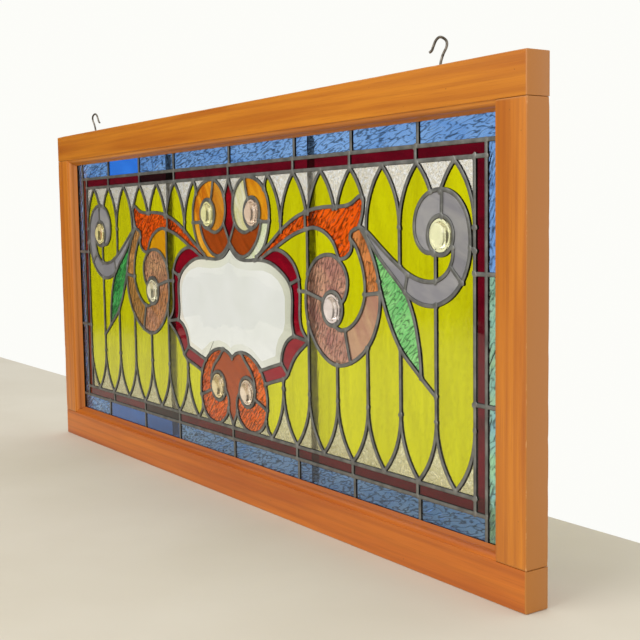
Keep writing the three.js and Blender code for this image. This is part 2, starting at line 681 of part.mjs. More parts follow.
const leadedWindow = new THREE.Group();
const panel = new THREE.Group();
panel.position.z = panelCentreZ;
leadedWindow.add(panel);

function place(group, name, shape, colour, roughness, metalness = 0) {
  const geometry = shape.isBufferGeometry ? shape : toGeometry(shape);
  const material = new THREE.MeshStandardMaterial({ color: colour, roughness, metalness });
  const mesh = new THREE.Mesh(geometry, material);
  mesh.name = name;
  group.add(mesh);
  return mesh;
}

const stileLength = windowHeight - 2 * railFace - 2 * fit;
const stile = sashMember(stileLength, stileFace, stileLength - 0.4);
const pine = '#c47a38';
const top = place(panel, 'top_rail', topRail(), pine, 0.45);
top.position.z = windowHeight / 2 - railFace;
const bottom = place(panel, 'bottom_rail', sashMember(windowWidth, railFace, windowWidth - 2 * stileFace), pine, 0.45);
bottom.position.z = -windowHeight / 2 + railFace;
bottom.rotation.y = Math.PI;
const left = place(panel, 'left_stile', stile, pine, 0.45);
left.position.x = -windowWidth / 2 + stileFace;
left.rotation.y = -Math.PI / 2;
const right = place(panel, 'right_stile', stile, pine, 0.45);
right.position.x = windowWidth / 2 - stileFace;
right.rotation.y = Math.PI / 2;

place(panel, 'glazing_putty', puttyRing(), '#b3aa98', 0.9);
place(panel, 'left_support_bar', supportBar(-224.5), '#6b6a66', 0.5, 1);
place(panel, 'right_support_bar', supportBar(224.5), '#6b6a66', 0.5, 1);
place(panel, 'lead_came', leadCame(), '#7b7a74', 0.55, 1);

glassGroups.forEach(([name, seed, colour]) => place(panel, name, pane(seed), colour, 0.12));
place(panel, 'bevelled_plate', bevelledPlate(), '#eef0e6', 0.05);
bothJewels.forEach(([name, centre]) => place(panel, `jewel_${name}`, jewel(centre), '#e8dfc4', 0.05));

const hooks = [place(leadedWindow, 'left_hook', screwHook(-hookSpan, [0.95, 0.31]), '#6f6144', 0.45, 1),
  place(leadedWindow, 'right_hook', screwHook(hookSpan, [-0.65, -0.76]), '#6f6144', 0.45, 1)];
hooks.forEach((hook) => hook.position.setZ(-hookReach));

export default leadedWindow;
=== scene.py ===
import math
import bmesh
import bpy
import numpy as np
from mathutils import Matrix, Vector
from mathutils.geometry import delaunay_2d_cdt


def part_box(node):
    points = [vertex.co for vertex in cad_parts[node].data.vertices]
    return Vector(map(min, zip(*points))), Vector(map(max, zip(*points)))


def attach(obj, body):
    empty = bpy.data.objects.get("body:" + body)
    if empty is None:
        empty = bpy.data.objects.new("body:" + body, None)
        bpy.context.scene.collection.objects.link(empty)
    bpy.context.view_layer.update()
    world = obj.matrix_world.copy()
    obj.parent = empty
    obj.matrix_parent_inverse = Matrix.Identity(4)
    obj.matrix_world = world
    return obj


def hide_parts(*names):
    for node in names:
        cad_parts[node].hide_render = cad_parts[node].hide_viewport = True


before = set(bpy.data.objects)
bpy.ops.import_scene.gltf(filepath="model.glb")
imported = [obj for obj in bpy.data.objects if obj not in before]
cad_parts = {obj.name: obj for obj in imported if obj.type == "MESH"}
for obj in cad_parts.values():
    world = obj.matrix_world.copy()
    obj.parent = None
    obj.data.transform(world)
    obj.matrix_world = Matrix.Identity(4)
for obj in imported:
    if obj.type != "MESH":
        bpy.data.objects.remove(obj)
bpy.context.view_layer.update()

mm = 0.001
print("stage: frame loaded,", len(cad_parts), "nodes")


# ---- places, read from the frame ----

leadLow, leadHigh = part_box("lead_came")
glassLow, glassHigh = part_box("blue_border")
railLow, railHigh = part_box("top_rail")
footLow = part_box("bottom_rail")[0]
panelMiddleZ = (leadLow.z + leadHigh.z) / 2
panelShift = (0, 0, panelMiddleZ / mm)
panelHalf = np.array([leadHigh.x - leadLow.x, leadHigh.z - leadLow.z]) / 2 / mm
leadFront, leadBack = leadLow.y / mm, leadHigh.y / mm
glassFront, glassBack = glassLow.y / mm, glassHigh.y / mm
sashFront, sashBack = railLow.y / mm, railHigh.y / mm


# ---- small tools ----

# sRGB hex to linear: each channel over 12.92 near black, else ((c + 0.055) / 1.055) to the power 2.4
def linearColour(hexColour, alpha=1.0):
    channels = np.array([int(hexColour[i:i + 2], 16) for i in (1, 3, 5)]) / 255
    linear = np.where(channels <= 0.04045, channels / 12.92, ((channels + 0.055) / 1.055) ** 2.4)
    return (*linear.tolist(), alpha)


# adds one node: settings are its attributes, inputs are values or sockets to link, ramp holds colour stops
def addNode(tree, kind, settings=None, inputs=None, ramp=None):
    node = tree.nodes.new("ShaderNode" + kind)
    for name, value in (settings or {}).items():
        setattr(node, name, value)
    for name, value in (inputs or {}).items():
        if isinstance(value, bpy.types.NodeSocket):
            tree.links.new(value, node.inputs[name])
        else:
            node.inputs[name].default_value = value
    for i, (place, colour) in enumerate(ramp or []):
        stop = node.color_ramp.elements[i] if i < 2 else node.color_ramp.elements.new(place)
        stop.position = place
        stop.color = colour
    return node


def newMaterial(name):
    material = bpy.data.materials.new(name)
    material.use_nodes = True
    tree = material.node_tree
    tree.nodes.clear()
    return material, tree


# ends a material: a shader, with bump where a height is given
def finishSurface(tree, values, height=None, bumpDepth=0.001, strength=1.0):
    inputs = dict(values)
    if height is not None:
        bump = addNode(tree, "Bump", inputs={
            "Height": height, "Distance": bumpDepth, "Strength": strength})
        inputs["Normal"] = bump.outputs["Normal"]
    shader = addNode(tree, "BsdfPrincipled", inputs=inputs)
    addNode(tree, "OutputMaterial", inputs={"Surface": shader.outputs["BSDF"]})
    return shader


def ownPlace(tree):
    return addNode(tree, "TexCoord").outputs["Object"]


def attributeOf(tree, name, output):
    return addNode(tree, "Attribute", {"attribute_name": name}).outputs[output]


def noiseTexture(tree, place, scale, detail, roughness=0.5, distortion=0.0):
    return addNode(tree, "TexNoise", inputs={
        "Vector": place, "Scale": scale, "Detail": detail, "Roughness": roughness,
        "Distortion": distortion}).outputs["Fac"]


# the dark colour up to a low value, the light one from a high value, blended between
def toneRamp(tree, value, low, dark, high, light):
    return addNode(tree, "ValToRGB", inputs={"Fac": value}, ramp=[
        (low, linearColour(dark)), (high, linearColour(light))]).outputs["Color"]


def ranged(tree, value, fromLow, fromHigh, toLow=0.0, toHigh=1.0):
    return addNode(tree, "MapRange", inputs={
        "Value": value, "From Min": fromLow, "From Max": fromHigh, "To Min": toLow,
        "To Max": toHigh}).outputs["Result"]


# Mix holds a socket of each kind: 6 and 7 are its two colours, and output 2 is the mixed colour
def mixedColour(tree, share, first, second):
    return addNode(tree, "Mix", {"data_type": "RGBA"}, {"Factor": share, 6: first, 7: second}).outputs[2]


# one mesh object from points in millimetres; attributes are values for each point
def addPiece(name, points, faces, material, nodes, attributes=None, smoothAngle=None, outward=False):
    mesh = bpy.data.meshes.new(name)
    mesh.from_pydata((np.asarray(points, float) * mm).tolist(), [], faces)
    for label, values in (attributes or {}).items():
        values = np.asarray(values, float)
        if values.ndim == 2:
            layer = mesh.attributes.new(label, "FLOAT_COLOR", "POINT")
            layer.data.foreach_set("color", values.ravel())
        else:
            layer = mesh.attributes.new(label, "FLOAT", "POINT")
            layer.data.foreach_set("value", values)
    if not outward:  # panes are wound outwards as they are made
        turned = bmesh.new()
        turned.from_mesh(mesh)
        bmesh.ops.recalc_face_normals(turned, faces=turned.faces)
        turned.to_mesh(mesh)
        turned.free()
    if smoothAngle is not None:
        mesh.polygons.foreach_set("use_smooth", np.ones(len(mesh.polygons), bool))
        mesh.set_sharp_from_angle(angle=math.radians(smoothAngle))
    mesh.update()
    mesh.materials.append(material)
    piece = bpy.data.objects.new(name, mesh)
    bpy.context.collection.objects.link(piece)
    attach(piece, "root")
    if nodes:
        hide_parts(*nodes)
    return piece


# quads between neighbours of a grid whose point (i, j) has number i * columns + j
def gridFaces(rows, columns, wrapRows=False, wrapColumns=True, first=0):
    i = np.arange(rows if wrapRows else rows - 1)[:, None]
    j = np.arange(columns if wrapColumns else columns - 1)[None, :]
    i2, j2 = (i + 1) % rows, (j + 1) % columns
    quads = np.stack([i * columns + j, i * columns + j2, i2 * columns + j2, i2 * columns + j], axis=-1)
    return (quads.reshape(-1, 4) + first).tolist()


# the two flat ends of a grid that is open along its rows
def endCaps(rows, columns):
    return [list(range(columns)), list(range((rows - 1) * columns, rows * columns))[::-1]]


# triangles from each side of a ring of points to one apex
def fan(first, count, apex, turned=False):
    near = np.arange(count)
    far = (near + 1) % count
    pair = [first + far, first + near] if turned else [first + near, first + far]
    return np.stack(pair + [np.full(count, apex)], axis=1).tolist()


# twice a triangle's signed area, from the cross product of two of its sides: above zero when anticlockwise
def turnOf(u, v, w):
    along, to = v - u, w - u
    return along[..., 0] * to[..., 1] - along[..., 1] * to[..., 0]


# point = path point + across * side direction, at the profile's depth; a mitre widens the side at a corner
def carried(path, profile, closed=False):
    before = np.roll(path, 1, axis=0)
    after = np.roll(path, -1, axis=0)
    if not closed:
        before[0] = 2 * path[0] - path[1]
        after[-1] = 2 * path[-1] - path[-2]
    comes = path - before
    goes = after - path
    comes = comes / np.linalg.norm(comes, axis=1)[:, None]
    goes = goes / np.linalg.norm(goes, axis=1)[:, None]
    along = comes + goes
    along = along / np.linalg.norm(along, axis=1)[:, None]
    reach = 1 / np.maximum((along * goes).sum(axis=1), 0.6)
    side = np.stack([-along[:, 1], along[:, 0]], axis=1) * reach[:, None]
    flat = path[:, None, :] + side[:, None, :] * profile[None, :, 0, None]
    depth = np.broadcast_to(profile[None, :, 1], flat.shape[:2])
    points = np.stack([flat[..., 0], depth, flat[..., 1]], axis=-1)
    rows, columns = flat.shape[:2]
    faces = gridFaces(rows, columns, wrapRows=closed)
    if not closed:
        faces += endCaps(rows, columns)
    return points.reshape(-1, 3), faces


# several shells laid end to end in one list of points and faces
class Shells:
    def __init__(self):
        self.points, self.faces, self.count = [], [], 0

    def add(self, points, faces):
        self.points.append(points)
        self.faces += [[corner + self.count for corner in face] for face in faces]
        self.count += len(points)

    def all(self):
        return np.concatenate(self.points), self.faces


# ---- the lead pattern, in millimetres from the panel's middle ----

pattern = {
    "cameWidth": 5.5,
    "edgeCameWidth": 8,
    "jewelRing": 24,
    "blueX": 597, "blueZ": 220,  # lead between the blue and the ruby border
    "rubyX": 577, "rubyZ": 202,  # lead between the ruby border and the field
    "pitch": 70.5,
    "springing": 120,
    "tip": 200,
    "step": 5.5,  # spacing of the sections along curved lead
    "borderStep": 30,
    "ringPoints": 40,
}
jewelCentres = {
    "top_medallion": (71, 144),
    "bottom_medallion": (46.5, -138.6),
    "rose_scroll": (284.5, 8),
    "grey_scroll": (515.5, 110.5),
}
curvedLead = {
    "spindleTop": [(0, 200), (7, 185), (15, 172)],
    "spindleFoot": [(17.5, 127), (9.5, 114), (3.5, 104.5), (0, 97)],
    "medallionTop": [
        (84, 76.5), (103, 89.5), (115.5, 109.5), (121.5, 131), (121, 154), (111.5, 176), (92, 191.5),
        (69, 199), (49, 199.5), (37, 194.5), (24.5, 185), (15, 171), (11.3, 153), (13, 140), (19, 127),
        (30, 118.5), (46, 113.7), (58, 115.5), (70, 120)],
    "commaEdge": [(50, 199), (53, 187), (55.5, 176), (60, 165.5)],
    "segmentFoot": [(91, 131.5), (106, 130), (121.5, 130.5)],
    "crescentEdge": [
        (97, 130.8), (95.5, 121), (87, 104), (76, 92), (64.5, 83), (53, 77.8), (42, 75.6), (31, 76.8),
        (20, 81.5), (9.5, 89.5), (0, 98.5)],
    "plateTop": [
        (0, 92), (8, 84), (17, 77.5), (27, 73), (42, 70.5), (60, 70.3), (80, 71.5), (103, 71), (120, 68.5),
        (136, 63.5), (150, 57), (163, 49.5), (173, 41), (180, 30.5), (182.3, 18), (181.7, 0), (180.5, -14),
        (182, -27), (186, -38)],
    "platePetal": [(186, -38), (171, -44.5), (161, -52.5), (154.5, -62), (150.7, -72), (149, -83)],
    "plateFoot": [(149, -83), (131.5, -87.5), (115, -92), (101.5, -96), (88, -99.5)],
    "bandTop": [
        (97, 73.5), (112, 81), (123, 85.6), (137, 88.2), (150, 87), (164, 82.8), (176, 76.5), (187, 68),
        (195, 58), (199.8, 48), (201.8, 36.7), (202.8, 24), (202.3, 8), (201.7, -5), (203.2, -18),
        (208, -28.5), (222, -42)],
    "bandPetal": [
        (222, -44), (209, -52.7), (198, -60), (187, -69.5), (178, -80), (171.5, -90), (166.5, -97)],
    "bandFoot": [(166.5, -97), (161, -102.3), (153, -105.8), (136.5, -110), (120, -114.2), (102.5, -119.5)],
    "stalkTop": [
        (84, 76.5), (100.5, 85), (128.5, 101), (144.5, 111), (160, 120), (174.5, 127), (192, 134.5),
        (208, 139.6), (220, 142.3)],
    "stalkFoot": [
        (93, 72.5), (108.5, 79), (122.5, 84.8), (136.5, 90), (152.5, 97), (168.5, 103.5), (184.5, 109.5),
        (201, 114.2), (219.5, 118.3)],
    "leafTop": [
        (219.5, 142.2), (236, 146), (256, 148.3), (278, 149.4), (300, 149.2), (320, 150), (334, 153.5),
        (345, 159.2), (354, 162.5), (359.5, 157), (359, 147), (356.5, 136), (350.5, 122)],
    "leafFoot": [
        (219.5, 118.3), (229, 119.5), (240, 120.7), (253, 119), (266, 115), (278.5, 108.5), (288, 101),
        (294.5, 92.5), (298.5, 84), (303, 77)],
    "leafLobe": [(303, 77), (314, 78.5), (324, 82.8), (331, 90), (332.5, 97.5), (330.3, 104.5)],
    "armTop": [(330.3, 104.5), (329.5, 111), (334.5, 116), (350.5, 121)],
    "armEdge": [
        (290, -15.4), (301.5, -20.5), (314, -19.7), (327, -14.8), (341, -5), (352, 8), (359, 22),
        (361.7, 37), (360.5, 53), (356, 69), (349, 84), (341, 96), (330.3, 104.5)],
    "roseCap": [
        (219.5, 29), (220, 38), (223, 48), (228.5, 58.5), (237, 68.5), (248, 76.5), (262, 81.5), (276, 83),
        (291, 81), (304, 74.3), (315, 64), (320.7, 52), (321, 41), (317.8, 30), (312, 21), (305, 17)],
    "roseEdge": [
        (219.5, 29), (218.5, 14), (220.3, -2), (225, -17), (233.5, -33), (246, -48), (262, -60), (280, -68),
        (298, -70.5), (316, -67.5), (334, -61), (351, -51.5), (366, -39.3), (378, -25), (387, -7.5),
        (392.7, 10), (394.5, 28), (393, 44), (389, 60), (383, 75), (375, 90), (366, 105), (350.5, 122)],
    "greyTop": [
        (350.5, 122), (368.5, 114), (394.5, 96.3), (408.5, 87), (421, 79), (434, 71.5), (448.5, 63.7),
        (464.5, 57.5), (480.5, 54), (496, 53.3), (508.5, 55.2), (520, 60), (529, 67), (535, 75.5),
        (538.3, 85), (538.5, 96)],
    "greyEdge": [
        (350.5, 122), (366, 108.5), (388, 86.5), (402, 74), (416, 63), (430, 52), (446, 38.8),
        (458.5, 31.5), (473, 26.3), (488.5, 23.8), (504.5, 24.2), (520.5, 29), (536, 37), (548.5, 48),
        (558.5, 61), (565.5, 76.5), (569, 93), (569, 112), (565.5, 130), (558, 144.5), (546.5, 156.3),
        (532, 163.7), (518, 166), (504, 165), (491, 161), (480, 153.7), (471.5, 143), (466.8, 130),
        (466.3, 116), (470.5, 103.5), (478.5, 94.5), (489, 89.3), (503, 89)],
    "greenLeft": [
        (391.5, 50), (395, 39), (400.7, 25), (408, 9), (416.5, -7), (425.5, -21.5), (436, -35), (448, -46),
        (462, -56.5), (478, -68.5)],
    "greenRight": [
        (446, 38.8), (452.5, 30), (459.5, 16.5), (466.3, 0), (471.5, -20), (475.5, -40), (478, -68.5)],
    "medallionFoot": [
        (0, -88), (11, -81), (22, -77.6), (37, -76.4), (52, -78.6), (65, -83.2), (77, -90.2), (88, -99.5),
        (96, -109), (102, -121), (105.6, -134), (107, -147), (106, -160), (102.3, -173.5), (95.5, -186),
        (85, -194.7), (71, -200), (55, -201.5), (41.5, -199.2), (29.5, -192.5), (19.5, -183.5),
        (13.7, -171), (12.8, -160), (16, -150), (24, -141)],
    "heartEdge": [
        (29, -76.8), (42, -90.5), (51.5, -98), (59.5, -105.3), (65.7, -113.5), (69.5, -123), (70.5, -134)],
    "heartStem": [(14, -172), (9.5, -182), (3.5, -191), (0, -202)],
    "stubTop": [(118.75, 201), (111.5, 190), (109, 179)],
    "stubFoot": [(118.75, -201), (107.5, -190), (102, -178)],
    "bandKnee": [(186, -38), (222, -42.5)],
    "roseHeel": [(314.5, -20), (318.5, -36), (326.5, -64)],
    "leafTail": [(478, -68.5), (493, -79.5), (506.5, -88.5)],
}
straightLead = [
    [(179, 38.5), (200.5, 46)], [(149, -82), (166.5, -97)], [(202, 29), (220, 28.7)],
    [(219.7, 142), (219.5, 118.5)], [(219.5, 29), (262, 19)], [(360.5, 31), (394, 35)],
    [(69, -147), (106, -160)], [(519, 166), (518, 134)], [(536, 71), (554, 54.5)], [(452, 61), (446, 38.8)],
    [(538.5, 96), (534.5, 99)], [(84, 76.5), (78, 70.5)], [(70.5, -134), (68, -136)],
    [(569, 96), (577, 93)], [(154, -107), (154, -122)], [(154, 116), (154, 131)],
    [(224.5, 119), (224.5, 54)], [(224.5, -16), (224.5, -122)], [(295, -70), (295, -122)],
    [(365.5, -40), (365.5, -122)], [(436, 71), (436, 122)], [(436, -35), (436, -122)],
    [(506.5, 88), (506.5, 54)], [(506.5, 24), (506.5, -122)],
]
# sides of the lancets: base, lean, foot, upper (1) or lower (-1) row
lancetSides = [
    (154, -1, 130, 1), (154, 1, 130, 1), (224.5, -1, 142, 1), (224.5, 1, 142, 1), (295, -1, 148, 1),
    (295, 1, 148, 1), (365.5, -1, 159, 1), (365.5, 1, 113, 1), (436, -1, 120, 1), (436, 1, 120, 1),
    (506.5, -1, 163, 1), (506.5, 1, 163, 1), (577, -1, 120, 1), (577, -1, 120, -1),
] + [(base, lean, 120, -1) for base in (154, 224.5, 295, 365.5, 436, 506.5) for lean in (-1, 1)]
borderBars = {
    "ruby": (-469.5, -329.5, -189.5, 0, 189.5, 329.5, 469.5),
    "blueTop": (-467.5, -329.5, -189.5, 4, 194, 334, 474),
    "blueFoot": (-491.5, -329.5, -189.5, 4, 194, 334, 474),
    "right": (65.7, -88.7),
    "left": (74, -74),
}


# uniform Catmull-Rom: each span blends four knots by cubic weights in t, end knots repeated
def smoothLine(knots, perSpan=8):
    k = np.asarray(knots, float)
    padded = np.concatenate([k[:1], k, k[-1:]])
    p0, p1, p2, p3 = padded[:-3, None], padded[1:-2, None], padded[2:-1, None], padded[3:, None]
    t = (np.arange(perSpan) / perSpan)[None, :, None]
    v1, v2 = (p2 - p0) / 2, (p3 - p1) / 2
    curve = p1 + v1 * t + (3 * (p2 - p1) - 2 * v1 - v2) * t ** 2 + (2 * (p1 - p2) + v1 + v2) * t ** 3
    return np.concatenate([curve.reshape(-1, 2), k[-1:]])


# a lancet side: upright to the springing, then an arc that ends at the tip
def lancetSide(base, lean, foot, half):
    halfPitch = pattern["pitch"] / 2
    rise = pattern["tip"] - pattern["springing"]
    radius = (halfPitch ** 2 + rise ** 2) / pattern["pitch"]
    z = np.linspace(max(foot, pattern["springing"]), pattern["tip"], 13)
    x = base + lean * (radius - np.sqrt(radius ** 2 - (z - pattern["springing"]) ** 2))
    line = np.stack([x, half * z], axis=1)
    return np.concatenate([[[base, half * foot]], line]) if foot < pattern["springing"] else line


# points at even spacing along a line
def evenly(line, spacing):
    length = np.concatenate([[0], np.cumsum(np.linalg.norm(np.diff(line, axis=0), axis=1))])
    count = max(int(round(length[-1] / spacing)), 1) + 1
    at = np.linspace(0, length[-1], count)
    return np.stack([np.interp(at, length, line[:, 0]), np.interp(at, length, line[:, 1])], axis=1)


def borderLines():
    blueX, blueZ, rubyX, rubyZ = (pattern[k] for k in ("blueX", "blueZ", "rubyX", "rubyZ"))
    edgeX, edgeZ = panelHalf - pattern["edgeCameWidth"] / 2
    lines = [[(x, rubyZ), (x, blueZ)] for x in borderBars["ruby"]]
    lines += [[(x, -blueZ), (x, -rubyZ)] for x in borderBars["ruby"]]
    lines += [[(x, blueZ), (x, edgeZ)] for x in borderBars["blueTop"]]
    lines += [[(x, -edgeZ), (x, -blueZ)] for x in borderBars["blueFoot"]]
    lines += [[(rubyX, z), (edgeX, z)] for z in borderBars["right"]]
    lines += [[(-edgeX, z), (-rubyX, z)] for z in borderBars["left"]]
    for x, z in ((blueX, blueZ), (rubyX, rubyZ)):
        lines += [[(-x, z), (x, z)], [(x, z), (x, -z)], [(x, -z), (-x, -z)], [(-x, -z), (-x, z)]]
    for (x, z), (farX, farZ) in (((blueX, blueZ), (edgeX, edgeZ)), ((rubyX, rubyZ), (blueX, blueZ))):
        # each corner's short bar runs on from one side only, so the four turn like a pinwheel
        lines += [[(x, z), (farX, z)], [(-x, -z), (-farX, -z)], [(-x, z), (-x, farZ)], [(x, -z), (x, -farZ)]]
    return [np.array(line, float) for line in lines]


def fieldLines():
    half = [evenly(smoothLine(knots), pattern["step"]) for knots in curvedLead.values()]
    half += [evenly(lancetSide(*side), pattern["step"] * 1.4) for side in lancetSides]
    half += [np.array(line, float) for line in straightLead]
    return half + [line * (-1, 1) for line in half]


def jewelPlaces():
    return {f"{name}_{side}": (sign * x, z) for name, (x, z) in jewelCentres.items()
            for side, sign in (("right", 1), ("left", -1))}


def ringPath(centre, radius, count):
    angle = 2 * np.pi * np.arange(count) / count
    return np.stack([centre[0] + radius * np.cos(angle), centre[1] + radius * np.sin(angle)], axis=1)


fieldLead = fieldLines()
borderLead = borderLines()
print("stage: lead pattern,", len(fieldLead) + len(borderLead), "lines")


# ---- materials ----

# the pattern repeats every `spacing` mm across the grain and is `slowness` times as quick along it
def grainPlace(tree, coords, along, spacing, slowness, shift=(0, 0, 0)):
    scale = [1000 / spacing * (slowness if axis == along else 1) for axis in "xyz"]
    return addNode(tree, "Mapping", inputs={
        "Vector": coords, "Scale": scale, "Location": shift}).outputs["Vector"]


# wood swept along one axis: fine fibres, wide growth bands, warm varnish, wear where the edges are handled
def varnishedPine(name, along, looks):
    material, tree = newMaterial(name)
    coords = ownPlace(tree)
    tones = {key: linearColour(looks[key]) for key in ("ring", "sideToneAndShade", "worn", "nick")}
    fibre = noiseTexture(tree, grainPlace(tree, coords, along, looks["fibre"], 0.02), 1.0, 3.0, 0.6)
    bandAt = grainPlace(tree, coords, along, looks["band"], 0.045, (looks["shift"], 0.3, 0.7))
    band = noiseTexture(tree, bandAt, 1.0, 2.0, distortion=0.6)
    rings = addNode(tree, "TexWave", {"bands_direction": "Z" if along == "x" else "X"}, {
        "Vector": bandAt, "Scale": 0.4, "Distortion": 9.0, "Detail": 2.0, "Detail Scale": 0.7}).outputs["Fac"]
    colour = toneRamp(tree, band, 0.3, looks["dark"], 0.72, looks["light"])
    colour = mixedColour(tree, ranged(tree, rings, 0.55, 1.0, 0.0, looks["ringDepth"]), colour, tones["ring"])
    colour = mixedColour(tree, ranged(tree, fibre, 0.5, 0.75, 0.0, 0.35), colour, tones["ring"])
    # ends and outer sides darker: partly thinner varnish on the end grain, partly painted shade where they
    # turn from the light
    colour = mixedColour(tree, attributeOf(tree, "side", "Fac"), colour, tones["sideToneAndShade"])
    speckle = noiseTexture(tree, coords, 260.0, 4.0)
    rubbed = addNode(tree, "Math", {"operation": "MULTIPLY"}, {
        0: attributeOf(tree, "wear", "Fac"), 1: speckle}).outputs["Value"]
    colour = mixedColour(tree, ranged(tree, rubbed, 0.35, 0.62, 0.0, 0.75), colour, tones["worn"])
    nicks = addNode(tree, "TexVoronoi", inputs={"Vector": coords, "Scale": 1000 / looks["nickSpacing"]})
    nick = ranged(tree, nicks.outputs["Distance"], 0.02, 0.045, 0.65, 0.0)
    finishSurface(tree, {
        "Base Color": mixedColour(tree, nick, colour, tones["nick"]), "Roughness": looks["roughness"],
        "IOR": 1.5, "Coat Weight": 0.1, "Coat Roughness": 0.3}, fibre, 0.0002, 0.5)
    return material


# texture mapping turns before it stretches; a turn is counted from +X towards +Z, seen from the front
def turnedPlace(tree, place, looks, kind):
    return addNode(tree, "Mapping", {"vector_type": "TEXTURE"}, {
        "Vector": place, "Rotation": (0, -math.radians(looks[kind + "Turn"]), 0),
        "Scale": (looks[kind + "Length"] * mm, 1, looks[kind + "Width"] * mm)}).outputs["Vector"]


# old leaded glass: the sheet's two colours wander into each other, and its rolled relief catches the light;
# the dark lines along the relief are painted shade
def leadedGlass(name, looks):
    material, tree = newMaterial(name)
    place = addNode(tree, "VectorMath", {"operation": "ADD"}, {
        0: ownPlace(tree), 1: attributeOf(tree, "paneSeed", "Vector")}).outputs["Vector"]
    streak = noiseTexture(tree, turnedPlace(tree, place, looks, "streak"), 1.0, 3.0, distortion=0.8)
    colour = mixedColour(
        tree, ranged(tree, streak, looks["streakFrom"], looks["streakTo"]),
        attributeOf(tree, "paneColour", "Color"), attributeOf(tree, "paneSecond", "Color"))
    relief = noiseTexture(tree, turnedPlace(tree, place, looks, "relief"), 1.0, looks["reliefDetail"],
                          distortion=looks["reliefTwist"])
    # painted shade: dark lines along the relief's ridges stand in for the light that the ripples bend
    if looks["paintedShadeLineDepth"] > 0:
        white, black, width = (1, 1, 1, 1), (0, 0, 0, 1), looks["paintedShadeLineWidth"]
        paintedRidgeShade = addNode(tree, "ValToRGB", inputs={"Fac": relief}, ramp=[
            (0.0, white), (0.5 - width, white), (0.5, black), (0.5 + width, white), (1.0, white)])
        shade = ranged(tree, paintedRidgeShade.outputs["Color"], 0.0, 1.0, 1 - looks["paintedShadeLineDepth"], 1.0)
        colour = addNode(tree, "VectorMath", {"operation": "SCALE"}, {
            0: colour, "Scale": shade}).outputs["Vector"]
    finishSurface(tree, {"Base Color": colour, "Roughness": looks["roughness"], "IOR": 1.52,
                         "Transmission Weight": looks["clarity"]}, relief, looks["reliefDepth"] * mm, 1.0)
    return material


# lead: soft grey oxide, brighter where it is rubbed, with dark cement along the flanges
def agedLead(name, base, bright, darkEdge):
    material, tree = newMaterial(name)
    coords = ownPlace(tree)
    tone = toneRamp(tree, noiseTexture(tree, coords, 55.0, 4.0), 0.35, base, 0.7, bright)
    edge = mixedColour(tree, attributeOf(tree, "crease", "Fac"), tone, linearColour(darkEdge))
    finishSurface(tree, {"Base Color": edge, "Roughness": 0.5, "Metallic": 0.7},
                  noiseTexture(tree, coords, 420.0, 3.0), 0.0003, 0.6)
    return material


# a metal with fine pitting and darker patches
def dulledMetal(name, light, dark, roughness):
    material, tree = newMaterial(name)
    patch = noiseTexture(tree, ownPlace(tree), 140.0, 5.0)
    finishSurface(tree, {"Base Color": toneRamp(tree, patch, 0.38, dark, 0.62, light),
                         "Roughness": roughness, "Metallic": 1.0}, patch, 0.0002, 0.5)
    return material


# linseed putty: chalky, cracked by age, darker along the cracks
def chalkyPutty(name):
    material, tree = newMaterial(name)
    coords = ownPlace(tree)
    lumps = noiseTexture(tree, coords, 90.0, 5.0)
    cracks = addNode(tree, "TexVoronoi", {"feature": "DISTANCE_TO_EDGE"}, {"Vector": coords, "Scale": 55.0})
    cracked = addNode(tree, "VectorMath", {"operation": "SCALE"}, {
        0: toneRamp(tree, lumps, 0.3, "#8f8672", 0.7, "#c4bca8"),
        "Scale": ranged(tree, cracks.outputs["Distance"], 0.0, 0.03, 0.4, 1.0)})
    finishSurface(tree, {"Base Color": cracked.outputs["Vector"], "Roughness": 0.9}, lumps, 0.001, 0.8)
    return material


# ---- lead came: an H section whose flanges are rounded, carried along every line ----

cameLooks = {
    "heart": 0.5,  # half the thickness of the web between the flanges
    "crown": [  # share of the half width, and height over the glass in millimetres
        (-1.0, 0.0), (-1.0, 0.55), (-0.8, 0.95), (-0.45, 1.12), (0.0, 1.2), (0.45, 1.12), (0.8, 0.95),
        (1.0, 0.55), (1.0, 0.0)],
    "dirtHeight": 0.7,  # cement lies dark up to this height over the glass
    "dirtFrom": 0.62, "dirtSpan": 0.38, "dirtAbove": 0.35,
}
solderLooks = {
    "around": 14,
    "rings": (0.35, 0.7, 0.92, 1.0),  # share of the radius, outwards
    "radius": (3.4, 4.6),
    "height": 0.42,
    "sunk": 0.5,  # the outermost ring lies in the lead
    "foot": 0.6,
    "fromEdge": 6,
    "apart": 5,  # line ends nearer than this share one joint
}


def cameProfile(width):
    half, heart, crown = width / 2, cameLooks["heart"], np.array(cameLooks["crown"])
    front = np.stack([crown[:, 0] * half, glassFront - crown[:, 1]], axis=1)
    back = np.stack([crown[::-1, 0] * half, glassBack + crown[::-1, 1]], axis=1)
    return np.concatenate([front, [(heart, glassFront), (heart, glassBack)], back,
                           [(-heart, glassBack), (-heart, glassFront)]])


def creaseOf(profile, rows):
    out = np.abs(profile[:, 0])
    across = np.clip((out / out.max() - cameLooks["dirtFrom"]) / cameLooks["dirtSpan"], 0, 1)
    height = cameLooks["dirtHeight"]
    low = (profile[:, 1] > glassFront - height) & (profile[:, 1] < glassBack + height)
    return np.tile(np.where(low, 1.0, cameLooks["dirtAbove"] * across), rows)


def leadCames():
    came, edgeCame = cameProfile(pattern["cameWidth"]), cameProfile(pattern["edgeCameWidth"])
    x, z = panelHalf - pattern["edgeCameWidth"] / 2
    runs = [(path, came, False) for path in fieldLead]
    runs += [(evenly(line, pattern["borderStep"]), came, False) for line in borderLead]
    runs += [(ringPath(centre, pattern["jewelRing"], pattern["ringPoints"]), came, True)
             for centre in jewelPlaces().values()]
    runs.append((np.array([(-x, -z), (x, -z), (x, z), (-x, z)]), edgeCame, True))
    shells, creases = Shells(), []
    for path, profile, closed in runs:
        shells.add(*carried(path, profile, closed))
        creases.append(creaseOf(profile, len(path)))
    return shells, np.concatenate(creases)


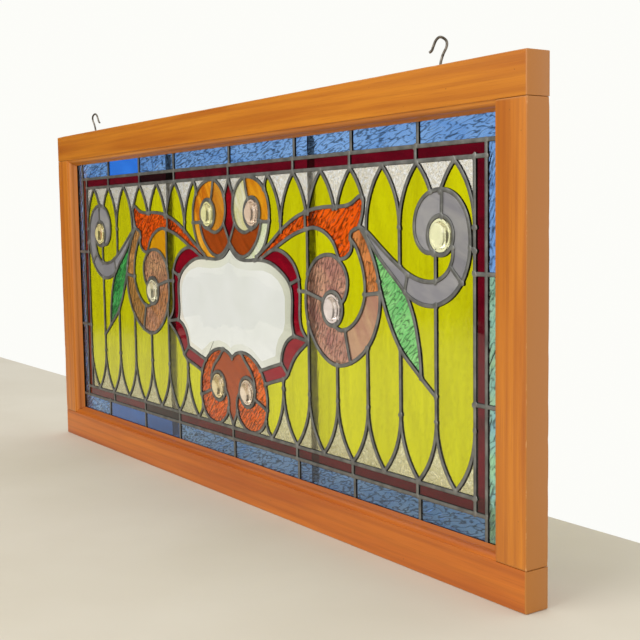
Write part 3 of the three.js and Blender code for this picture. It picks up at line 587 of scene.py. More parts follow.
# a low round cap on each face of the lead at every joint: the radius wanders with the angle, and the height
# falls as a cosine of the share of the radius
def solderJoints():
    ends = np.array([end for line in fieldLead + borderLead for end in (line[0], line[-1])])
    kept = []
    for place in ends[(np.abs(ends) < panelHalf - solderLooks["fromEdge"]).all(axis=1)]:
        if all(np.hypot(*(place - other)) > solderLooks["apart"] for other in kept):
            kept.append(place)
    count, rows, height = solderLooks["around"], len(solderLooks["rings"]), solderLooks["height"]
    angle = 2 * np.pi * np.arange(count) / count
    share = np.array(solderLooks["rings"])[:, None]
    rise = height * np.cos(share * np.pi / 2) - solderLooks["sunk"] * (share == 1.0)
    faces = gridFaces(rows, count) + fan(0, count, rows * count)
    faces += fan((rows - 1) * count, count, rows * count + 1, turned=True)
    generator = np.random.default_rng(11)
    shells = Shells()
    for x, z in kept:
        size = generator.uniform(*solderLooks["radius"])
        twoLobes = 0.16 * np.sin(2 * angle + generator.uniform(0, 6))
        fiveLobes = 0.08 * np.sin(5 * angle + generator.uniform(0, 6))
        radius = size * (1 + twoLobes + fiveLobes)
        for face, sign in ((leadFront, -1), (leadBack, 1)):
            rings = np.stack([
                x + share * radius * np.cos(angle), face + sign * rise + 0 * angle,
                z + share * radius * np.sin(angle)], axis=-1).reshape(-1, 3)
            poles = [[x, face + sign * height, z], [x, face - sign * solderLooks["foot"], z]]
            shells.add(np.concatenate([rings, poles]), faces)
    return shells, len(kept)


def buildLead():
    lead = agedLead("castLeadCameOxidised", "#6a6a67", "#92928d", "#232321")
    solder = agedLead("tinLeadSolderWiped", "#6e6e6b", "#9a9a95", "#2c2c2a")
    shells, crease = leadCames()
    points, faces = shells.all()
    addPiece("lead_cames", points + panelShift, faces, lead, ["lead_came"], {"crease": crease}, 50)
    joints, count = solderJoints()
    points, faces = joints.all()
    blank = np.zeros(len(points))
    addPiece("solder_joints", points + panelShift, faces, solder, [], {"crease": blank}, 60)


buildLead()


# ---- glass: panes found between the lead lines ----

# a flat sheet, and what a rippled sheet changes: turns in degrees, lengths and widths in millimetres
plainSheet = {
    "clarity": 1.0, "roughness": 0.15, "streakTurn": 0, "streakLength": 60, "streakWidth": 25,
    "streakFrom": 0.35, "streakTo": 0.75, "reliefTurn": 0, "reliefLength": 40, "reliefWidth": 20,
    "reliefDetail": 1.0, "reliefTwist": 0.3, "reliefDepth": 0.4, "paintedShadeLineDepth": 0, "paintedShadeLineWidth": 0.05}
rippleSheet = {
    **plainSheet, "roughness": 0.12, "streakTurn": 30, "streakLength": 50, "reliefLength": 17,
    "reliefWidth": 4.2, "reliefDetail": 0.0, "reliefTwist": 0.45, "reliefDepth": 1.0, "paintedShadeLineDepth": 0.85,
    "paintedShadeLineWidth": 0.075}
glassSheets = {
    "blueRipple": {
        **rippleSheet, "slot": "blue_glass", "material": "rolledBlueRippleGlass", "streakTurn": 10,
        "streakLength": 90, "streakWidth": 40, "reliefTurn": 14, "reliefDepth": 1.2},
    "blueSmooth": {
        **plainSheet, "slot": "blue_glass", "material": "drawnBlueGlass", "roughness": 0.08,
        "streakLength": 120, "streakWidth": 60, "streakFrom": 0.3, "streakTo": 0.8, "reliefLength": 60,
        "reliefWidth": 25, "reliefDepth": 0.5},
    "ruby": {
        **plainSheet, "slot": "ruby_glass", "material": "flashedRubyGlass", "roughness": 0.06,
        "streakTo": 0.8, "reliefLength": 50, "reliefWidth": 25},
    # granite: the lighter flecks between its two colours are painted glints, beside the bump's real ones
    "granite": {
        **plainSheet, "slot": "clear_textured_glass", "material": "rolledGraniteClearGlass",
        "roughness": 0.16, "streakLength": 4, "streakWidth": 4, "streakFrom": 0.42, "streakTo": 0.66,
        "reliefLength": 5, "reliefWidth": 5, "reliefDetail": 3.0, "reliefTwist": 2.2, "reliefDepth": 0.5,
        "paintedShadeLineDepth": 0.3},
    "cathedral": {
        **plainSheet, "slot": "yellow_green_glass", "material": "cathedralYellowGreenGlass",
        "roughness": 0.12, "streakLength": 30, "streakWidth": 160, "streakFrom": 0.3, "streakTo": 0.8,
        "reliefTurn": 85, "reliefLength": 22, "reliefWidth": 5, "reliefDetail": 2.0, "reliefTwist": 0.8,
        "reliefDepth": 0.25, "paintedShadeLineDepth": 0.12},
    "streaky": {
        **plainSheet, "slot": "amber_glass", "material": "streakyOpalescentGlass", "clarity": 0.8,
        "streakTurn": -62, "streakLength": 70, "streakWidth": 14, "streakFrom": 0.38, "streakTo": 0.66},
    "opal": {
        **plainSheet, "slot": "opal_glass", "material": "paleGreenOpalGlass", "clarity": 0.7,
        "streakTurn": -50, "streakWidth": 16, "streakTo": 0.7},
    "russet": {
        **plainSheet, "slot": "russet_glass", "material": "russetOpalescentGlass", "clarity": 0.7,
        "streakTurn": -45, "streakLength": 50, "streakWidth": 8},
    "orangeRipple": {
        **rippleSheet, "slot": "orange_glass", "material": "rolledOrangeRippleGlass", "clarity": 0.95,
        "reliefTurn": 44, "reliefLength": 16, "reliefTwist": 0.5, "reliefDepth": 1.2, "paintedShadeLineDepth": 0.9},
    "roseRipple": {
        **rippleSheet, "slot": "rose_glass", "material": "rolledRoseRippleGlass", "clarity": 0.85,
        "streakTurn": -30, "streakLength": 60, "streakWidth": 30, "streakTo": 0.7, "reliefTurn": 68,
        "paintedShadeLineDepth": 0.75},
    "greyOpal": {
        **plainSheet, "slot": "grey_opal_glass", "material": "greyOpalGlass", "clarity": 0.3,
        "roughness": 0.14, "streakTurn": -20, "streakLength": 70, "streakWidth": 26, "streakFrom": 0.4,
        "reliefLength": 50, "reliefWidth": 30},
    "greenRipple": {
        **rippleSheet, "slot": "green_glass", "material": "rolledGreenRippleGlass", "reliefTurn": 42,
        "reliefLength": 18},
    "blueUpright": {
        **rippleSheet, "slot": "blue_glass", "material": "rolledBlueRippleUprightGlass", "streakTurn": 10,
        "streakLength": 90, "streakWidth": 40, "reliefTurn": 66, "reliefDepth": 1.2},
}
# sheet, colour and second colour for the panes that lie in each node
paneGlass = {
    "blue_border": ("blueRipple", "#84b0ea", "#6496dc"),
    "ruby_border": ("ruby", "#6c061c", "#4c0412"),
    "clear_lancet_gaps_top": ("granite", "#f2ead6", "#ffffff"),
    "clear_lancet_gaps_bottom": ("granite", "#dcd49c", "#f6f1c8"),
    "ruby_spindle": ("ruby", "#6a0614", "#c40a1c"),
    "russet_heart": ("russet", "#b8541c", "#963a10"),
    "amber_comma": ("streaky", "#e6e0a0", "#f6f2d8"),
    "amber_segment": ("streaky", "#f0a820", "#cc7810"),
    "opal_sickle": ("opal", "#e4ecc0", "#f2f4e0"),
    "russet_crescent": ("russet", "#bc5418", "#9c4412"),
    "ruby_band": ("ruby", "#96061f", "#6c0418"),
    "orange_medallion": ("orangeRipple", "#f07014", "#dc5408"),
    "orange_leaf": ("orangeRipple", "#ff6a12", "#e84e08"),
    "rose_scroll": ("roseRipple", "#dcaa8c", "#ba8078"),
    "grey_scroll": ("greyOpal", "#97959b", "#b0aeac"),
    "green_leaf": ("greenRipple", "#9ce48c", "#6cc470"),
    **{name: ("cathedral", "#dad806", "#c2be04") for name in (
        "yellow_lancets_inner", "yellow_lancet_middle", "yellow_lancet_leaf_tip", "yellow_lancets_outer",
        "yellow_field_inner", "yellow_crescent", "yellow_field_outer")},
}
# panes that differ from the rest of their node: a point inside, sheet, colour, second colour
otherPanes = [
    (-400, 232, "blueSmooth", "#3c8cff", "#3078e8"),
    (-400, -232, "blueSmooth", "#4478d0", "#3868b8"),
    (-260, -232, "blueSmooth", "#4478d0", "#3868b8"),
    (-260, 211, "ruby", "#2c0810", "#1c0509"),
    (-260, -211, "ruby", "#2c0810", "#1c0509"),
    (-32, 150, "streaky", "#e8a434", "#c8741a"),
    (-107, 160, "streaky", "#ffb028", "#d87814"),
    (-107, 112, "streaky", "#f0a824", "#f8c048"),
    (-245, 90, "streaky", "#f0b010", "#dc9808"),
    (348, 100, "roseRipple", "#f0a060", "#d47c3c"),
    (-348, 100, "roseRipple", "#e8b070", "#d49850"),
    (612, -37, "blueUpright", "#8cc0b4", "#9cbc8c"),
    (612, -150, "blueUpright", "#9ccca0", "#78a8c0"),
    (-436, 0, "greenRipple", "#54b860", "#2c8c3c"),
    (-238, 33, "roseRipple", "#dcac80", "#c88e70"),
    (-304, -41, "roseRipple", "#d8a080", "#d09058"),
    (-334, -33, "roseRipple", "#cc9850", "#b88448"),
    (338, -35, "streaky", "#dcb48c", "#c8947c"),
    (211, 5, "cathedral", "#e8e410", "#d4cc0a"),
    (-211, 5, "cathedral", "#d8d00e", "#c0b808"),
]
paneLooks = {
    "reach": 4.0,  # each line runs on this far past its ends, so that it meets its neighbours
    "least": 60,  # square millimetres; smaller regions are slivers under the lead
    "flatWithin": 0.5,
    "rimInset": 0.7,
    "clear": 0.12,  # between the glass and the lead's flange
    "tilt": 0.15, "tiltOver": 30,
    "shade": (0.93, 1.07),
}


# triangles between all lead lines, joined into regions across every edge that no line follows
def findPanes():
    lines = []
    for line in fieldLead + borderLead:
        first, last = line[0] - line[1], line[-1] - line[-2]
        ahead = line[-1] + last / np.linalg.norm(last) * paneLooks["reach"]
        behind = line[0] + first / np.linalg.norm(first) * paneLooks["reach"]
        lines.append(np.concatenate([[behind], line, [ahead]]))
    rim = panelHalf - pattern["edgeCameWidth"] / 2
    corners = np.array([(-1, -1), (1, -1), (1, 1), (-1, 1), (-1, -1)]) * rim
    lines.append(corners)
    for centre in jewelPlaces().values():
        ring = ringPath(centre, pattern["jewelRing"], pattern["ringPoints"])
        lines.append(np.concatenate([ring, ring[:1]]))
    points = np.concatenate(lines)
    starts = np.cumsum([0] + [len(line) for line in lines])
    edges = np.concatenate([
        np.stack([np.arange(a, b - 1), np.arange(a + 1, b)], axis=1)
        for a, b in zip(starts[:-1], starts[1:])])
    found = delaunay_2d_cdt([Vector(p) for p in points.tolist()], edges.tolist(), [], 0, 1e-4, True)
    corner = np.array([tuple(p) for p in found[0]])
    triangles = np.array(found[2])
    a, b, c = (corner[triangles[:, k]] for k in range(3))
    area = turnOf(a, b, c) / 2
    triangles[area < 0] = triangles[area < 0][:, ::-1]
    area = np.abs(area)
    total = len(corner)
    followed = {tuple(sorted(edge)) for edge, source in zip(found[1], found[4]) if source}
    walls = np.array([i * total + j for i, j in followed])
    sides = np.concatenate([triangles[:, [0, 1]], triangles[:, [1, 2]], triangles[:, [2, 0]]])
    owner = np.tile(np.arange(len(triangles)), 3)
    key = np.sort(sides, axis=1) @ np.array([total, 1])
    order = np.argsort(key, kind="stable")
    same = key[order][1:] == key[order][:-1]
    one, other, shared = owner[order][:-1][same], owner[order][1:][same], key[order][1:][same]
    free = ~np.isin(shared, walls)
    one, other = one[free], other[free]
    label = np.arange(len(triangles))
    while True:  # the lowest number spreads over each region
        lower = np.minimum(label[one], label[other])
        following = label.copy()
        np.minimum.at(following, one, lower)
        np.minimum.at(following, other, lower)
        following = following[following]
        if np.array_equal(following, label):
            break
        label = following
    return corner, triangles, area, label


# the node whose front face covers each place, by the signs of the three edge products
def nodeAt(places):
    names, sets = [], []
    for name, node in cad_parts.items():
        thick = name == "bevelled_plate" or name.startswith("jewel_")
        if not (thick or baseName(name) in paneGlass):
            continue
        mesh = node.data
        mesh.calc_loop_triangles()
        tri = np.empty(len(mesh.loop_triangles) * 3, np.int32)
        mesh.loop_triangles.foreach_get("vertices", tri)
        co = np.empty(len(mesh.vertices) * 3)
        mesh.vertices.foreach_get("co", co)
        corners = co.reshape(-1, 3)[tri.reshape(-1, 3)] / mm
        if not thick:
            corners = corners[np.ptp(corners[..., 1], axis=1) < paneLooks["flatWithin"]]
        sets.append(corners[..., [0, 2]])
        names += [name] * len(corners)
    tri = np.concatenate(sets)
    tri[..., 1] -= panelMiddleZ / mm
    p = places[:, None, :]
    a, b, c = tri[None, :, 0], tri[None, :, 1], tri[None, :, 2]
    products = np.stack([turnOf(a, b, p), turnOf(b, c, p), turnOf(c, a, p)])
    hit = (products > 0).all(axis=0) | (products < 0).all(axis=0)
    return [names[k] if hit[i, k] else None for i, k in enumerate(hit.argmax(axis=1))]


def baseName(name):
    for ending in ("_right", "_left"):
        if name.endswith(ending):
            return name[:-len(ending)]
    return name


# one pane: its triangles in front and behind, its rim drawn in by the heart of the lead, walls between them
def paneShell(corner, triangles, generator):
    used, local = np.unique(triangles, return_inverse=True)
    local = local.reshape(-1, 3)
    flat = corner[used].copy()
    sides = np.concatenate([local[:, [0, 1]], local[:, [1, 2]], local[:, [2, 0]]])
    key = np.sort(sides, axis=1) @ np.array([len(used), 1])
    values, counts = np.unique(key, return_counts=True)
    rim = sides[np.isin(key, values[counts == 1])]
    run = flat[rim[:, 1]] - flat[rim[:, 0]]
    length = np.maximum(np.linalg.norm(run, axis=1), 1e-6)
    inward = np.stack([-run[:, 1], run[:, 0]], axis=1) / length[:, None]
    push = np.zeros_like(flat)
    np.add.at(push, rim[:, 0], inward)
    np.add.at(push, rim[:, 1], inward)
    size = np.linalg.norm(push, axis=1)
    drawn = push / np.maximum(size, 1e-6)[:, None] * paneLooks["rimInset"]
    flat += np.where(size[:, None] > 1e-6, drawn, 0)
    middle = flat.mean(axis=0)
    span = np.maximum(np.ptp(flat, axis=0), paneLooks["tiltOver"])
    tilt = generator.uniform(-1, 1, 2) * paneLooks["tilt"] / span
    lean = (flat - middle) @ tilt
    count, clear = len(used), paneLooks["clear"]
    points = np.concatenate([
        np.stack([flat[:, 0], glassFront + clear + lean, flat[:, 1]], axis=1),
        np.stack([flat[:, 0], glassBack - clear + lean, flat[:, 1]], axis=1)])
    walls = np.stack([rim[:, 1], rim[:, 0], rim[:, 0] + count, rim[:, 1] + count], axis=1)
    faces = local.tolist() + (local[:, ::-1] + count).tolist() + walls.tolist()
    return points, faces


def triangleAt(corner, triangles, place):
    a, b, c = (corner[triangles[:, k]] for k in range(3))
    inside = (turnOf(a, b, place) >= 0) & (turnOf(b, c, place) >= 0) & (turnOf(c, a, place) >= 0)
    return int(inside.argmax()) if inside.any() else None


def buildPanes():
    corner, triangles, area, label = findPanes()
    regions, where = np.unique(label, return_inverse=True)
    size = np.bincount(where, weights=area)
    order = np.lexsort((area, where))
    largest = order[np.searchsorted(where[order], np.arange(len(regions)), side="right") - 1]
    places = corner[triangles[largest]].mean(axis=1)
    kinds = nodeAt(places)
    generator = np.random.default_rng(5)
    sheets = {name: {"shells": Shells(), "nodes": set(), "paneColour": [], "paneSecond": [], "paneSeed": []}
              for name in glassSheets}
    overrides = {}
    for x, z, *glass in otherPanes:
        inside = triangleAt(corner, triangles, np.array([x, z], float))
        if inside is not None:
            overrides[where[inside]] = glass
    count = 0
    for r, node in enumerate(kinds):
        known = node is not None and baseName(node) in paneGlass
        if size[r] < paneLooks["least"] or not (known or r in overrides):
            continue
        if known:
            sheet, *tones = paneGlass[baseName(node)]
            sheets[sheet]["nodes"].add(node)
        if r in overrides:
            sheet, *tones = overrides[r]
        if sheet == "blueRipple" and abs(places[r][0]) > pattern["blueX"]:
            sheet = "blueUpright"
        target = sheets[sheet]
        points, faces = paneShell(corner, triangles[where == r], generator)
        target["shells"].add(points, faces)
        shade = generator.uniform(*paneLooks["shade"])
        for key, tone in zip(("paneColour", "paneSecond"), tones):
            target[key].append(np.tile(np.array(linearColour(tone)) * shade, (len(points), 1)))
        target["paneSeed"].append(np.full(len(points), generator.uniform(0, 3)))
        count += 1
    for name, looks in glassSheets.items():
        made = sheets[name]
        points, faces = made["shells"].all()
        attributes = {key: np.concatenate(made[key]) for key in ("paneColour", "paneSecond", "paneSeed")}
        addPiece(f"glass_{name}", points + panelShift, faces, leadedGlass(looks["material"], looks),
                 sorted(made["nodes"]), attributes, outward=True)
    print("stage: glass,", count, "panes of", len(regions), "regions")


buildPanes()


# ---- the bevelled plate: rings of one outline, from its edge over the bevel to the raised table ----

plateLooks = {
    "tableRise": 2.5,
    "rays": 320,
    "middle": (0.0, -4.0),
    "footPoints": 60,  # of the bottom medallion's smoothed edge, up to the plate's lowest corner
    "edgeGap": 0.8,
    "leastBevel": 5,
    "clear": 0.1,
    "table": [
        (0, 66), (26, 57.5), (60, 55), (105, 56), (130, 51), (147, 43), (159, 32), (166, 18), (165, -20),
        (160, -33), (146, -45), (138.5, -60), (137, -72), (112, -79.5), (96, -84), (84, -77), (66, -67),
        (37, -62), (12, -65.5), (0, -72)],
}


# distance from the plate's middle to an outline along each ray, by where the ray crosses the outline's edges
def raysTo(outline, angles, middle):
    a = outline - middle
    b = np.roll(outline, -1, axis=0) - middle
    d = np.stack([np.cos(angles), np.sin(angles)], axis=1)
    edge = b - a
    den = d[:, None, 0] * edge[None, :, 1] - d[:, None, 1] * edge[None, :, 0]
    den = np.where(np.abs(den) < 1e-12, 1e-12, den)
    reach = (a[None, :, 0] * edge[None, :, 1] - a[None, :, 1] * edge[None, :, 0]) / den
    along = (a[None, :, 0] * d[:, None, 1] - a[None, :, 1] * d[:, None, 0]) / den
    ok = (along >= -1e-9) & (along <= 1 + 1e-9) & (reach > 0)
    return np.where(ok, reach, 1e9).min(axis=1)


def buildPlate():
    half = [smoothLine(curvedLead[name]) for name in ("plateTop", "platePetal", "plateFoot")]
    foot = smoothLine(curvedLead["medallionFoot"])[:plateLooks["footPoints"]]
    right = np.concatenate(half + [foot[::-1]])
    outline = np.concatenate([right, (right * (-1, 1))[::-1]])
    middle = np.array(plateLooks["middle"])
    count = plateLooks["rays"]
    spread = evenly(np.concatenate([outline, outline[:1]]), 1.0)
    share = np.linspace(0, len(spread) - 1, count, endpoint=False).astype(int)
    angles = np.sort(np.arctan2(spread[share, 1] - middle[1], spread[share, 0] - middle[0]))
    angles = angles[np.concatenate([[True], np.diff(angles) > 1e-3])]
    count = len(angles)
    table = np.array(plateLooks["table"], float)
    table = np.concatenate([table, (table * (-1, 1))[::-1][1:-1]])
    edgeReach = raysTo(outline, angles, middle) - plateLooks["edgeGap"]
    tableReach = np.minimum(raysTo(table, angles, middle), edgeReach - plateLooks["leastBevel"])
    front, back = glassFront + plateLooks["clear"], glassBack - plateLooks["clear"]
    raised = front - plateLooks["tableRise"]
    rings = [(edgeReach, back), (edgeReach, front), (tableReach, raised), (tableReach * 0.5, raised)]
    ray = np.stack([np.cos(angles), np.sin(angles)], axis=1)
    shaped = [np.stack([middle[0] + reach * ray[:, 0], np.full(count, y), middle[1] + reach * ray[:, 1]],
                       axis=1) for reach, y in rings]
    centres = [[middle[0], raised, middle[1]], [middle[0], back, middle[1]]]
    points = np.concatenate(shaped + [centres]) + panelShift
    rows = len(rings)
    faces = gridFaces(rows, count) + fan((rows - 1) * count, count, rows * count)
    faces += fan(0, count, rows * count + 1, turned=True)
    clearGlass = {"Roughness": 0.02, "IOR": 1.52, "Transmission Weight": 1.0}
    # clear, with the faint grey-green of old plate
    material, tree = newMaterial("polishedPlateGlassBevelled")
    haze = noiseTexture(tree, ownPlace(tree), 9.0, 2.0)
    tint = toneRamp(tree, haze, 0.3, "#f1f2ea", 0.7, "#fafaf6")
    finishSurface(tree, {"Base Color": tint, **clearGlass}, haze, 0.0002, 0.3)
    plate = addPiece("bevelled_plate_glass", points, faces, material,
                     ["bevelled_plate"], None, 12)
    # the slope bends the view, so it looks faintly coloured: painted refraction, warm at the left end and
    # darker olive at the right
    bevel, tree = newMaterial("polishedPlateGlassBevel")
    place = addNode(tree, "SeparateXYZ", inputs={"Vector": ownPlace(tree)})
    tint = addNode(tree, "ValToRGB", inputs={"Fac": ranged(tree, place.outputs["X"], -0.18, 0.18)}, ramp=[
        (0.0, linearColour("#eee0cc")), (0.35, linearColour("#e2e2c4")), (0.65, linearColour("#e8e8da")),
        (1.0, linearColour("#c2c2a0"))])
    finishSurface(tree, {"Base Color": tint.outputs["Color"], **clearGlass})
    plate.data.materials.append(bevel)
    slope = np.zeros(len(faces), np.int32)
    slope[count:2 * count] = 1
    plate.data.polygons.foreach_set("material_index", slope)
    print("stage: bevelled plate,", count, "rays")


buildPlate()


# ---- jewels: a pressed round with a stepped rim and a domed middle, turned about its own axis ----

jewelLooks = {
    "around": 48,
    "back": 3.0, "top": -7.5,  # from the front of the glass
    "profile": [
        (20.9, 3.0), (20.9, 0.0), (20.2, -1.0), (18.4, -1.7), (17.3, -1.5), (16.6, -2.1), (15.6, -4.0),
        (13.6, -5.5), (10.5, -6.6), (7.0, -7.2), (3.5, -7.45)],
    "paintedReflectionTints": {
        "top_medallion_right": "#e9cdb4", "top_medallion_left": "#f4efb0",
        "bottom_medallion_right": "#f2dcc0", "bottom_medallion_left": "#ecd7a6",
        "rose_scroll_right": "#efe0d8", "rose_scroll_left": "#f0eac8",
        "grey_scroll_right": "#f8f6c8", "grey_scroll_left": "#efe2a0"},
}


def buildJewels():
    # thick moulded lens: bright rim, tinted middle; the tints of the clear glass are painted reflection
    material, tree = newMaterial("pressedClearGlassJewel")
    wave = noiseTexture(tree, ownPlace(tree), 60.0, 1.0)
    finishSurface(tree, {"Base Color": attributeOf(tree, "paneColour", "Color"), "Roughness": 0.05,
                         "IOR": 1.52, "Transmission Weight": 0.95}, wave, 0.0004, 0.4)
    profile = np.array(jewelLooks["profile"])
    count, rows = jewelLooks["around"], len(profile)
    angle = 2 * np.pi * np.arange(count) / count
    radius, depth = profile[:, 0][:, None], glassFront + profile[:, 1][:, None]
    faces = gridFaces(rows, count) + fan((rows - 1) * count, count, rows * count)
    faces += fan(0, count, rows * count + 1, turned=True)
    for name, (x, z) in jewelPlaces().items():
        turned = np.stack([x + radius * np.cos(angle), depth + 0 * angle, z + radius * np.sin(angle)],
                          axis=-1).reshape(-1, 3)
        poles = [[x, glassFront + jewelLooks["top"], z], [x, glassFront + jewelLooks["back"], z]]
        points = np.concatenate([turned, poles]) + panelShift
        # painted reflection: each clear jewel takes its listed tint as its colour
        reflectionTintValue = np.tile(linearColour(jewelLooks["paintedReflectionTints"][name]), (len(points), 1))
        addPiece(f"pressed_jewel_{name}", points, faces, material, [f"jewel_{name}"],
                 {"paneColour": reflectionTintValue}, 40)
    print("stage: jewels")


buildJewels()


# ---- sash: rounded bars for the rails and stiles, with a moulding mitred at the corners ----

sashLooks = {
    "arris": 1.3,  # usual rounding of the outer edges
    "handled": 1.6,  # extra rounding where the edges are worn
    "inner": 0.12,  # rounding of the inner edges
    "railFace": 49.0, "stileFace": 48.0,
    "endPlaces": (0, 0.4, 1.2, 2.4), "endInset": (1.3, 0.55, 0.15, 0),  # rounding of the cut ends
    "bodyFrom": 4, "bodyStep": 7, "leastSteps": 8,
    "wander": (0.013, 0.041, 0.11),  # radians of each slow wave per millimetre
    "nicks": 14, "nickWidth": (2, 9),
    "endWear": 18,  # millimetres over which the wear fades from the ends
    "cornerPoints": 6,
    "endBand": 1.3, "sideBand": 0.8,  # how far the darker tone of the ends and outer sides comes round: partly thinner varnish on the end grain, partly painted shade
    "mouldGap": 0.4,
    "mould": [
        (-0.8, 1.4), (-0.12, 0.12), (0.0, 0.02), (0.25, 0.3), (0.6, 2.4), (0.8, 2.5), (2.6, 2.72),
        (4.3, 3.64), (5.75, 5.0), (6.86, 6.75), (7.6, 8.8), (7.8, 11.0), (8.2, 11.6), (9.8, 13.9),
        (11.1, 15.9), (11.5, 16.5), (11.5, 17.3), (2.2, 17.3), (2.2, 34.9), (-0.8, 34.9)],
}


# rounded rectangle section (u across, d deep); its outer corners are worn by an amount that varies along it
def barShell(length, face, depth, generator):
    ends = np.array(sashLooks["endPlaces"])
    steps = max(int(length / sashLooks["bodyStep"]), sashLooks["leastSteps"])
    body = np.linspace(sashLooks["bodyFrom"], length - sashLooks["bodyFrom"], steps)
    stations = np.concatenate([ends, body, length - ends[::-1]])
    fromEnd = np.minimum(stations, length - stations)
    inset = np.interp(fromEnd, ends, sashLooks["endInset"])
    wander = sum(np.sin(stations * f + generator.uniform(0, 6)) for f in sashLooks["wander"]) / 3
    nickPlaces = generator.uniform(0, length, sashLooks["nicks"])
    nickWidths = generator.uniform(*sashLooks["nickWidth"], sashLooks["nicks"])
    nicks = np.exp(-((stations[:, None] - nickPlaces) / nickWidths) ** 2).sum(axis=1)
    near = np.exp(-fromEnd / sashLooks["endWear"])
    # rounding = arris + handled * (a third of the wander + a third of the nicks + most of the ends)
    wornShare = np.clip(0.35 * wander + 0.35 * nicks + 0.9 * near, 0, 1.4)
    worn = sashLooks["arris"] + sashLooks["handled"] * wornShare
    wearShare = np.clip(0.45 + 0.4 * nicks + 0.5 * near + 0.2 * wander, 0, 1)[:, None]
    turn = np.linspace(0, np.pi / 2, sashLooks["cornerPoints"])
    corners = [  # corner, start angle, whether the radius is the worn one
        ((-face, 0), np.pi, True), ((0, 0), 1.5 * np.pi, False), ((0, depth), 0.0, False),
        ((-face, depth), 0.5 * np.pi, True)]
    columns, wear = [], []
    for (u, d), start, outer in corners:
        radius = (worn if outer else np.full(len(stations), sashLooks["inner"]))[:, None]
        angle = start + turn
        centreU = u + np.where(u < 0, 1, -1) * radius
        centreD = d + np.where(d == 0, 1, -1) * radius
        columns.append(np.stack([
            centreU + radius * np.cos(angle), centreD + radius * np.sin(angle)], axis=-1))
        middle = np.sin(2 * turn)[None, :]
        wear.append((middle if outer else 0 * middle) * wearShare)
    section = np.concatenate(columns, axis=1)
    wear = np.concatenate(wear, axis=1)
    pull = inset[:, None]
    u = np.clip(section[..., 0], -face + pull, 0)
    d = np.clip(section[..., 1], pull, depth - pull)
    along = np.broadcast_to((stations - length / 2)[:, None], u.shape)
    points = np.stack([along, d, u], axis=-1).reshape(-1, 3)
    rows, columnsCount = u.shape
    faces = gridFaces(rows, columnsCount)
    faces += endCaps(rows, columnsCount)
    # ends and outer sides marked for the darker tone: partly thinner varnish, partly painted shade
    cutEnd = fromEnd[:, None] < sashLooks["endBand"]
    outerSide = section[..., 0] < -face + sashLooks["sideBand"]
    side = np.where(cutEnd | outerSide, 1.0, 0.0)
    return points, faces, wear.ravel(), side.ravel()


# moulding: its section is carried along the bar, and each point ends short by its own width, which mitres it
def mouldShell(length, profile):
    share = np.linspace(-1, 1, 24)
    reach = length / 2 - np.maximum(profile[:, 0], 0)
    along = share[:, None] * reach[None, :]
    points = np.stack([along, np.broadcast_to(profile[:, 1], along.shape),
                       np.broadcast_to(profile[:, 0], along.shape)], axis=-1).reshape(-1, 3)
    rows, columns = along.shape
    faces = gridFaces(rows, columns)
    faces += endCaps(rows, columns)
    return points, faces


# turns a bar drawn along x, with its inner side up, about y into its place
def placedBar(points, quarterTurns, shift):
    x, y, z = points[:, 0], points[:, 1] + sashFront, points[:, 2]
    c, s = round(math.cos(quarterTurns * math.pi / 2)), round(math.sin(quarterTurns * math.pi / 2))
    return np.stack([c * x - s * z, y, s * x + c * z], axis=1) + shift


def buildSash():
    rail, stile = sashLooks["railFace"], sashLooks["stileFace"]
    depth = sashBack - sashFront
    halfX = railHigh.x / mm
    topZ, footZ = railHigh.z / mm, footLow.z / mm
    middle = (topZ + footZ) / 2
    stileLow, stileHigh = (corner.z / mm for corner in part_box("left_stile"))
    stileLength = stileHigh - stileLow
    stileMould = stileLength - sashLooks["mouldGap"]
    pine = {
        "fibre": 1.6, "band": 22, "shift": 0.0, "dark": "#b46414", "light": "#d98a22", "ring": "#964a10",
        "ringDepth": 0.26, "sideToneAndShade": "#b8742c", "worn": "#e2b27c", "nick": "#4a2a10", "roughness": 0.42,
        "nickSpacing": 21}
    looks = {
        "top_rail": ("x", {**pine, "shift": 0.4}),
        # the bottom rail's darker tones are painted shade
        "bottom_rail": ("x", {
            **pine, "shift": 3.1, "dark": "#b05610", "light": "#d0741a", "ring": "#90440c"}),
        "left_stile": ("z", {**pine, "shift": 5.2, "dark": "#bc6818", "light": "#dc8a28"}),
        "right_stile": ("z", {**pine, "shift": 8.7, "dark": "#b06012", "light": "#d07e1e"}),
    }
    profile = np.array(sashLooks["mould"])
    members = {
        "top_rail": (2 * halfX, rail, 2 * (halfX - stile), 2, (0, 0, topZ - rail)),
        "bottom_rail": (2 * halfX, rail, 2 * (halfX - stile), 0, (0, 0, footZ + rail)),
        "left_stile": (stileLength, stile, stileMould, 3, (-halfX + stile, 0, middle)),
        "right_stile": (stileLength, stile, stileMould, 1, (halfX - stile, 0, middle)),
    }
    generator = np.random.default_rng(21)
    for name, (length, width, mouldLength, turns, shift) in members.items():
        shells = Shells()
        bar, barFaces, wear, side = barShell(length, width, depth, generator)
        mould, mouldFaces = mouldShell(mouldLength, profile)
        shells.add(placedBar(bar, turns, shift), barFaces)
        shells.add(placedBar(mould, turns, shift), mouldFaces)
        points, faces = shells.all()
        along, look = looks[name]
        blank = np.zeros(len(mould))
        addPiece(f"sash_{name}", points, faces, varnishedPine(f"varnishedPine_{name}", along, look),
                 [name],
                 {"wear": np.concatenate([wear, blank]), "side": np.concatenate([side, blank])}, 35)
    print("stage: sash")


buildSash()


# ---- hooks, putty and support bars ----

hookLooks = {
    "wire": 3.3,
    "route": [  # across and up
        (0, -11.7), (0, -4), (0.3, 5), (3.2, 15), (7.4, 24), (7, 31),
        (0.6, 35.4), (-4.6, 32.5), (-8.3, 24.5), (-10, 20), (-13.3, 17.3)],
    "left": (0.95, 0.31),
    "right": (-0.65, -0.76),
    "span": 519,
    "step": 1.1, "around": 16, "tipReach": 2.5,
}


